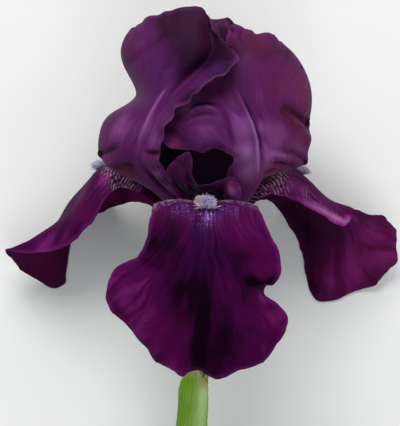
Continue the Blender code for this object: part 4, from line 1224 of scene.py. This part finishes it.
def make_stalk():
    turn, ovary_top, ovary_end, stem_end = stalk_frame()
    upward = turn @ np.array((0.0, 0.0, 1.0))
    mouth = [(-CLAW_BASE_HEIGHT / 2.0, TUBE_MOUTH_RADIUS - 0.9)] + TUBE_MOUTH
    throat = TUBE_THROAT[:-1] + [(TUBE_LENGTH + SEAT_GAP, TUBE_RADIUS)]
    line = [-depth * AXIS for depth, radius in mouth] + [-depth * upward for depth, radius in throat]
    radii = [radius for depth, radius in mouth + throat]
    depths = walked(line)
    stops = np.linspace(0.0, 1.0, TUBE_STEPS) * depths[-1]
    sizes = np.interp(stops, depths, radii)
    ripple, lobes = TUBE_LOBES
    tube = sweep(
        "perianth_tube_skin", read_along(line, depths, stops),
        lambda turn, t: sizes[round(t * (TUBE_STEPS - 1))] * (1.0 + ripple * math.cos(lobes * turn)),
        TUBE_SIDES)
    settle(tube, "perianth_tube", stalk_material("tube_skin"))

    profile = [(0.0, TUBE_RADIUS), (5.0, OVARY_RADIUS * 0.93), (12.0, OVARY_RADIUS),
               (OVARY_LENGTH - 5.0, OVARY_RADIUS * 0.96), (OVARY_LENGTH, OVARY_RADIUS * 0.9)]
    ovary = turned("ovary_skin_body", ovary_top, profile, upward, OVARY_LOBES, OVARY_STEPS)
    settle(ovary, "ovary", stalk_material("ovary_skin"))

    length = ovary_end - stem_end
    profile = [(0.0, OVARY_RADIUS * 0.9), (9.0, STEM_RADIUS * 0.97), (length * 0.55, STEM_RADIUS * 0.96),
               (length, STEM_RADIUS)]
    stem = turned("stem_skin_body", ovary_end, profile, upward, STEM_LOBES, STEM_STEPS)
    settle(stem, "stem", stalk_material("stem_skin"))

    inner = OVARY_RADIUS + 1.5 * SEAT_GAP + SPATHE_THICKNESS / 2.0
    outer = inner + 1.5 * SEAT_GAP + SPATHE_THICKNESS
    paper = spathe_material()
    make_spathe("spathe_inner", INNER_SPATHE, ovary_end, inner, turn, paper)
    make_spathe("spathe_outer", OUTER_SPATHE, ovary_end, outer, turn, paper)


def turned(name, top, profile, upward, lobing, rings):
    """A round body down the stalk, from a profile of depth and radius, with shallow lengthwise lobes."""
    ripple, lobes = lobing
    depths, radii = np.array(profile).T
    stops = np.linspace(0.0, depths[-1], rings)
    sizes = np.interp(stops, depths, radii)
    line = [(top - depth) * upward for depth in stops]
    return sweep(
        name, line,
        lambda turn, t: sizes[round(t * (rings - 1))] * (1.0 - ripple + ripple * math.cos(lobes * turn)),
        STALK_SIDES)


def make_spathe(name, shape, ovary_end, radius, turn, material):
    """A bract wrapped round the stalk: wide at its foot, narrowing to a tip above the ovary."""
    azimuth, half_angle, tip, start, bluntness = shape
    foot_radius = STEM_RADIUS + SEAT_GAP / 2.0
    foot = ovary_end - start
    rows = []
    for t in np.linspace(0.0, 1.0, 7):
        height = foot + (tip - foot) * t
        spread = half_angle * (1.0 - SPATHE_TAPER * t**bluntness)
        girth = foot_radius + (radius - foot_radius) * min(1.0, t * SPATHE_SWELL)
        angles = [math.radians(azimuth + spread * s) for s in np.linspace(-1.0, 1.0, 7)]
        rows.append([turn @ np.array((girth * math.cos(a), girth * math.sin(a), height)) for a in angles])
    petal = Petal(rows, SPATHE_GRID, SPATHE_SEED + half_angle, SPATHE_FAN)
    petal.ruffle(*SPATHE_RUFFLE)
    for dab in DABS.get(name, []):
        petal.dab(*dab)
    settle(shell(name + "_bract", petal, SPATHE_THICKNESS), name, material)


def make_stage():
    """A plain pale floor, soft light from the head's side, and a camera looking straight down."""
    bpy.ops.mesh.primitive_plane_add(size=FLOOR_SIZE, location=(0.0, 0.0, -FLOOR_DROP))
    floor = bpy.context.object
    floor.name = "floor"
    t = Tree("floor_paper")
    fleck = t.noise(t.place(), 40.0, 3.0)
    colour = t.mix(fleck, (0.66, 0.67, 0.66, 1.0), (0.70, 0.71, 0.69, 1.0))
    floor.data.materials.append(t.skin(colour, 0.9))

    centre = Vector(JUNCTION * MM)
    for name, place, size, energy, tint in LIGHTS:
        light = bpy.data.lights.new(name, "AREA")
        light.size = size
        light.energy = energy
        light.color = tint
        lamp = bpy.data.objects.new(name, light)
        lamp.location = centre + Vector(place)
        lamp.rotation_euler = (centre - lamp.location).to_track_quat("-Z", "Y").to_euler()
        bpy.context.scene.collection.objects.link(lamp)

    world = bpy.data.worlds.new("studio")
    world.use_nodes = True
    sky = world.node_tree.nodes["Background"]
    sky.inputs["Color"].default_value = SKY_TINT
    sky.inputs["Strength"].default_value = SKY_STRENGTH
    bpy.context.scene.world = world
    bpy.context.scene.view_settings.view_transform = "Standard"

    camera = bpy.data.objects.new("camera", bpy.data.cameras.new("camera"))
    camera.data.sensor_fit = "VERTICAL"
    camera.data.lens = camera.data.sensor_height * CAMERA_PLACE[2] / CAMERA_VIEW
    camera.data.clip_end = 40.0
    camera.location = centre + Vector(CAMERA_PLACE)
    bpy.context.scene.collection.objects.link(camera)
    bpy.context.scene.camera = camera


make_stage()
falls = make_falls()
make_standards()
make_styles()
make_stamens()
make_beards(falls)
make_stalk()
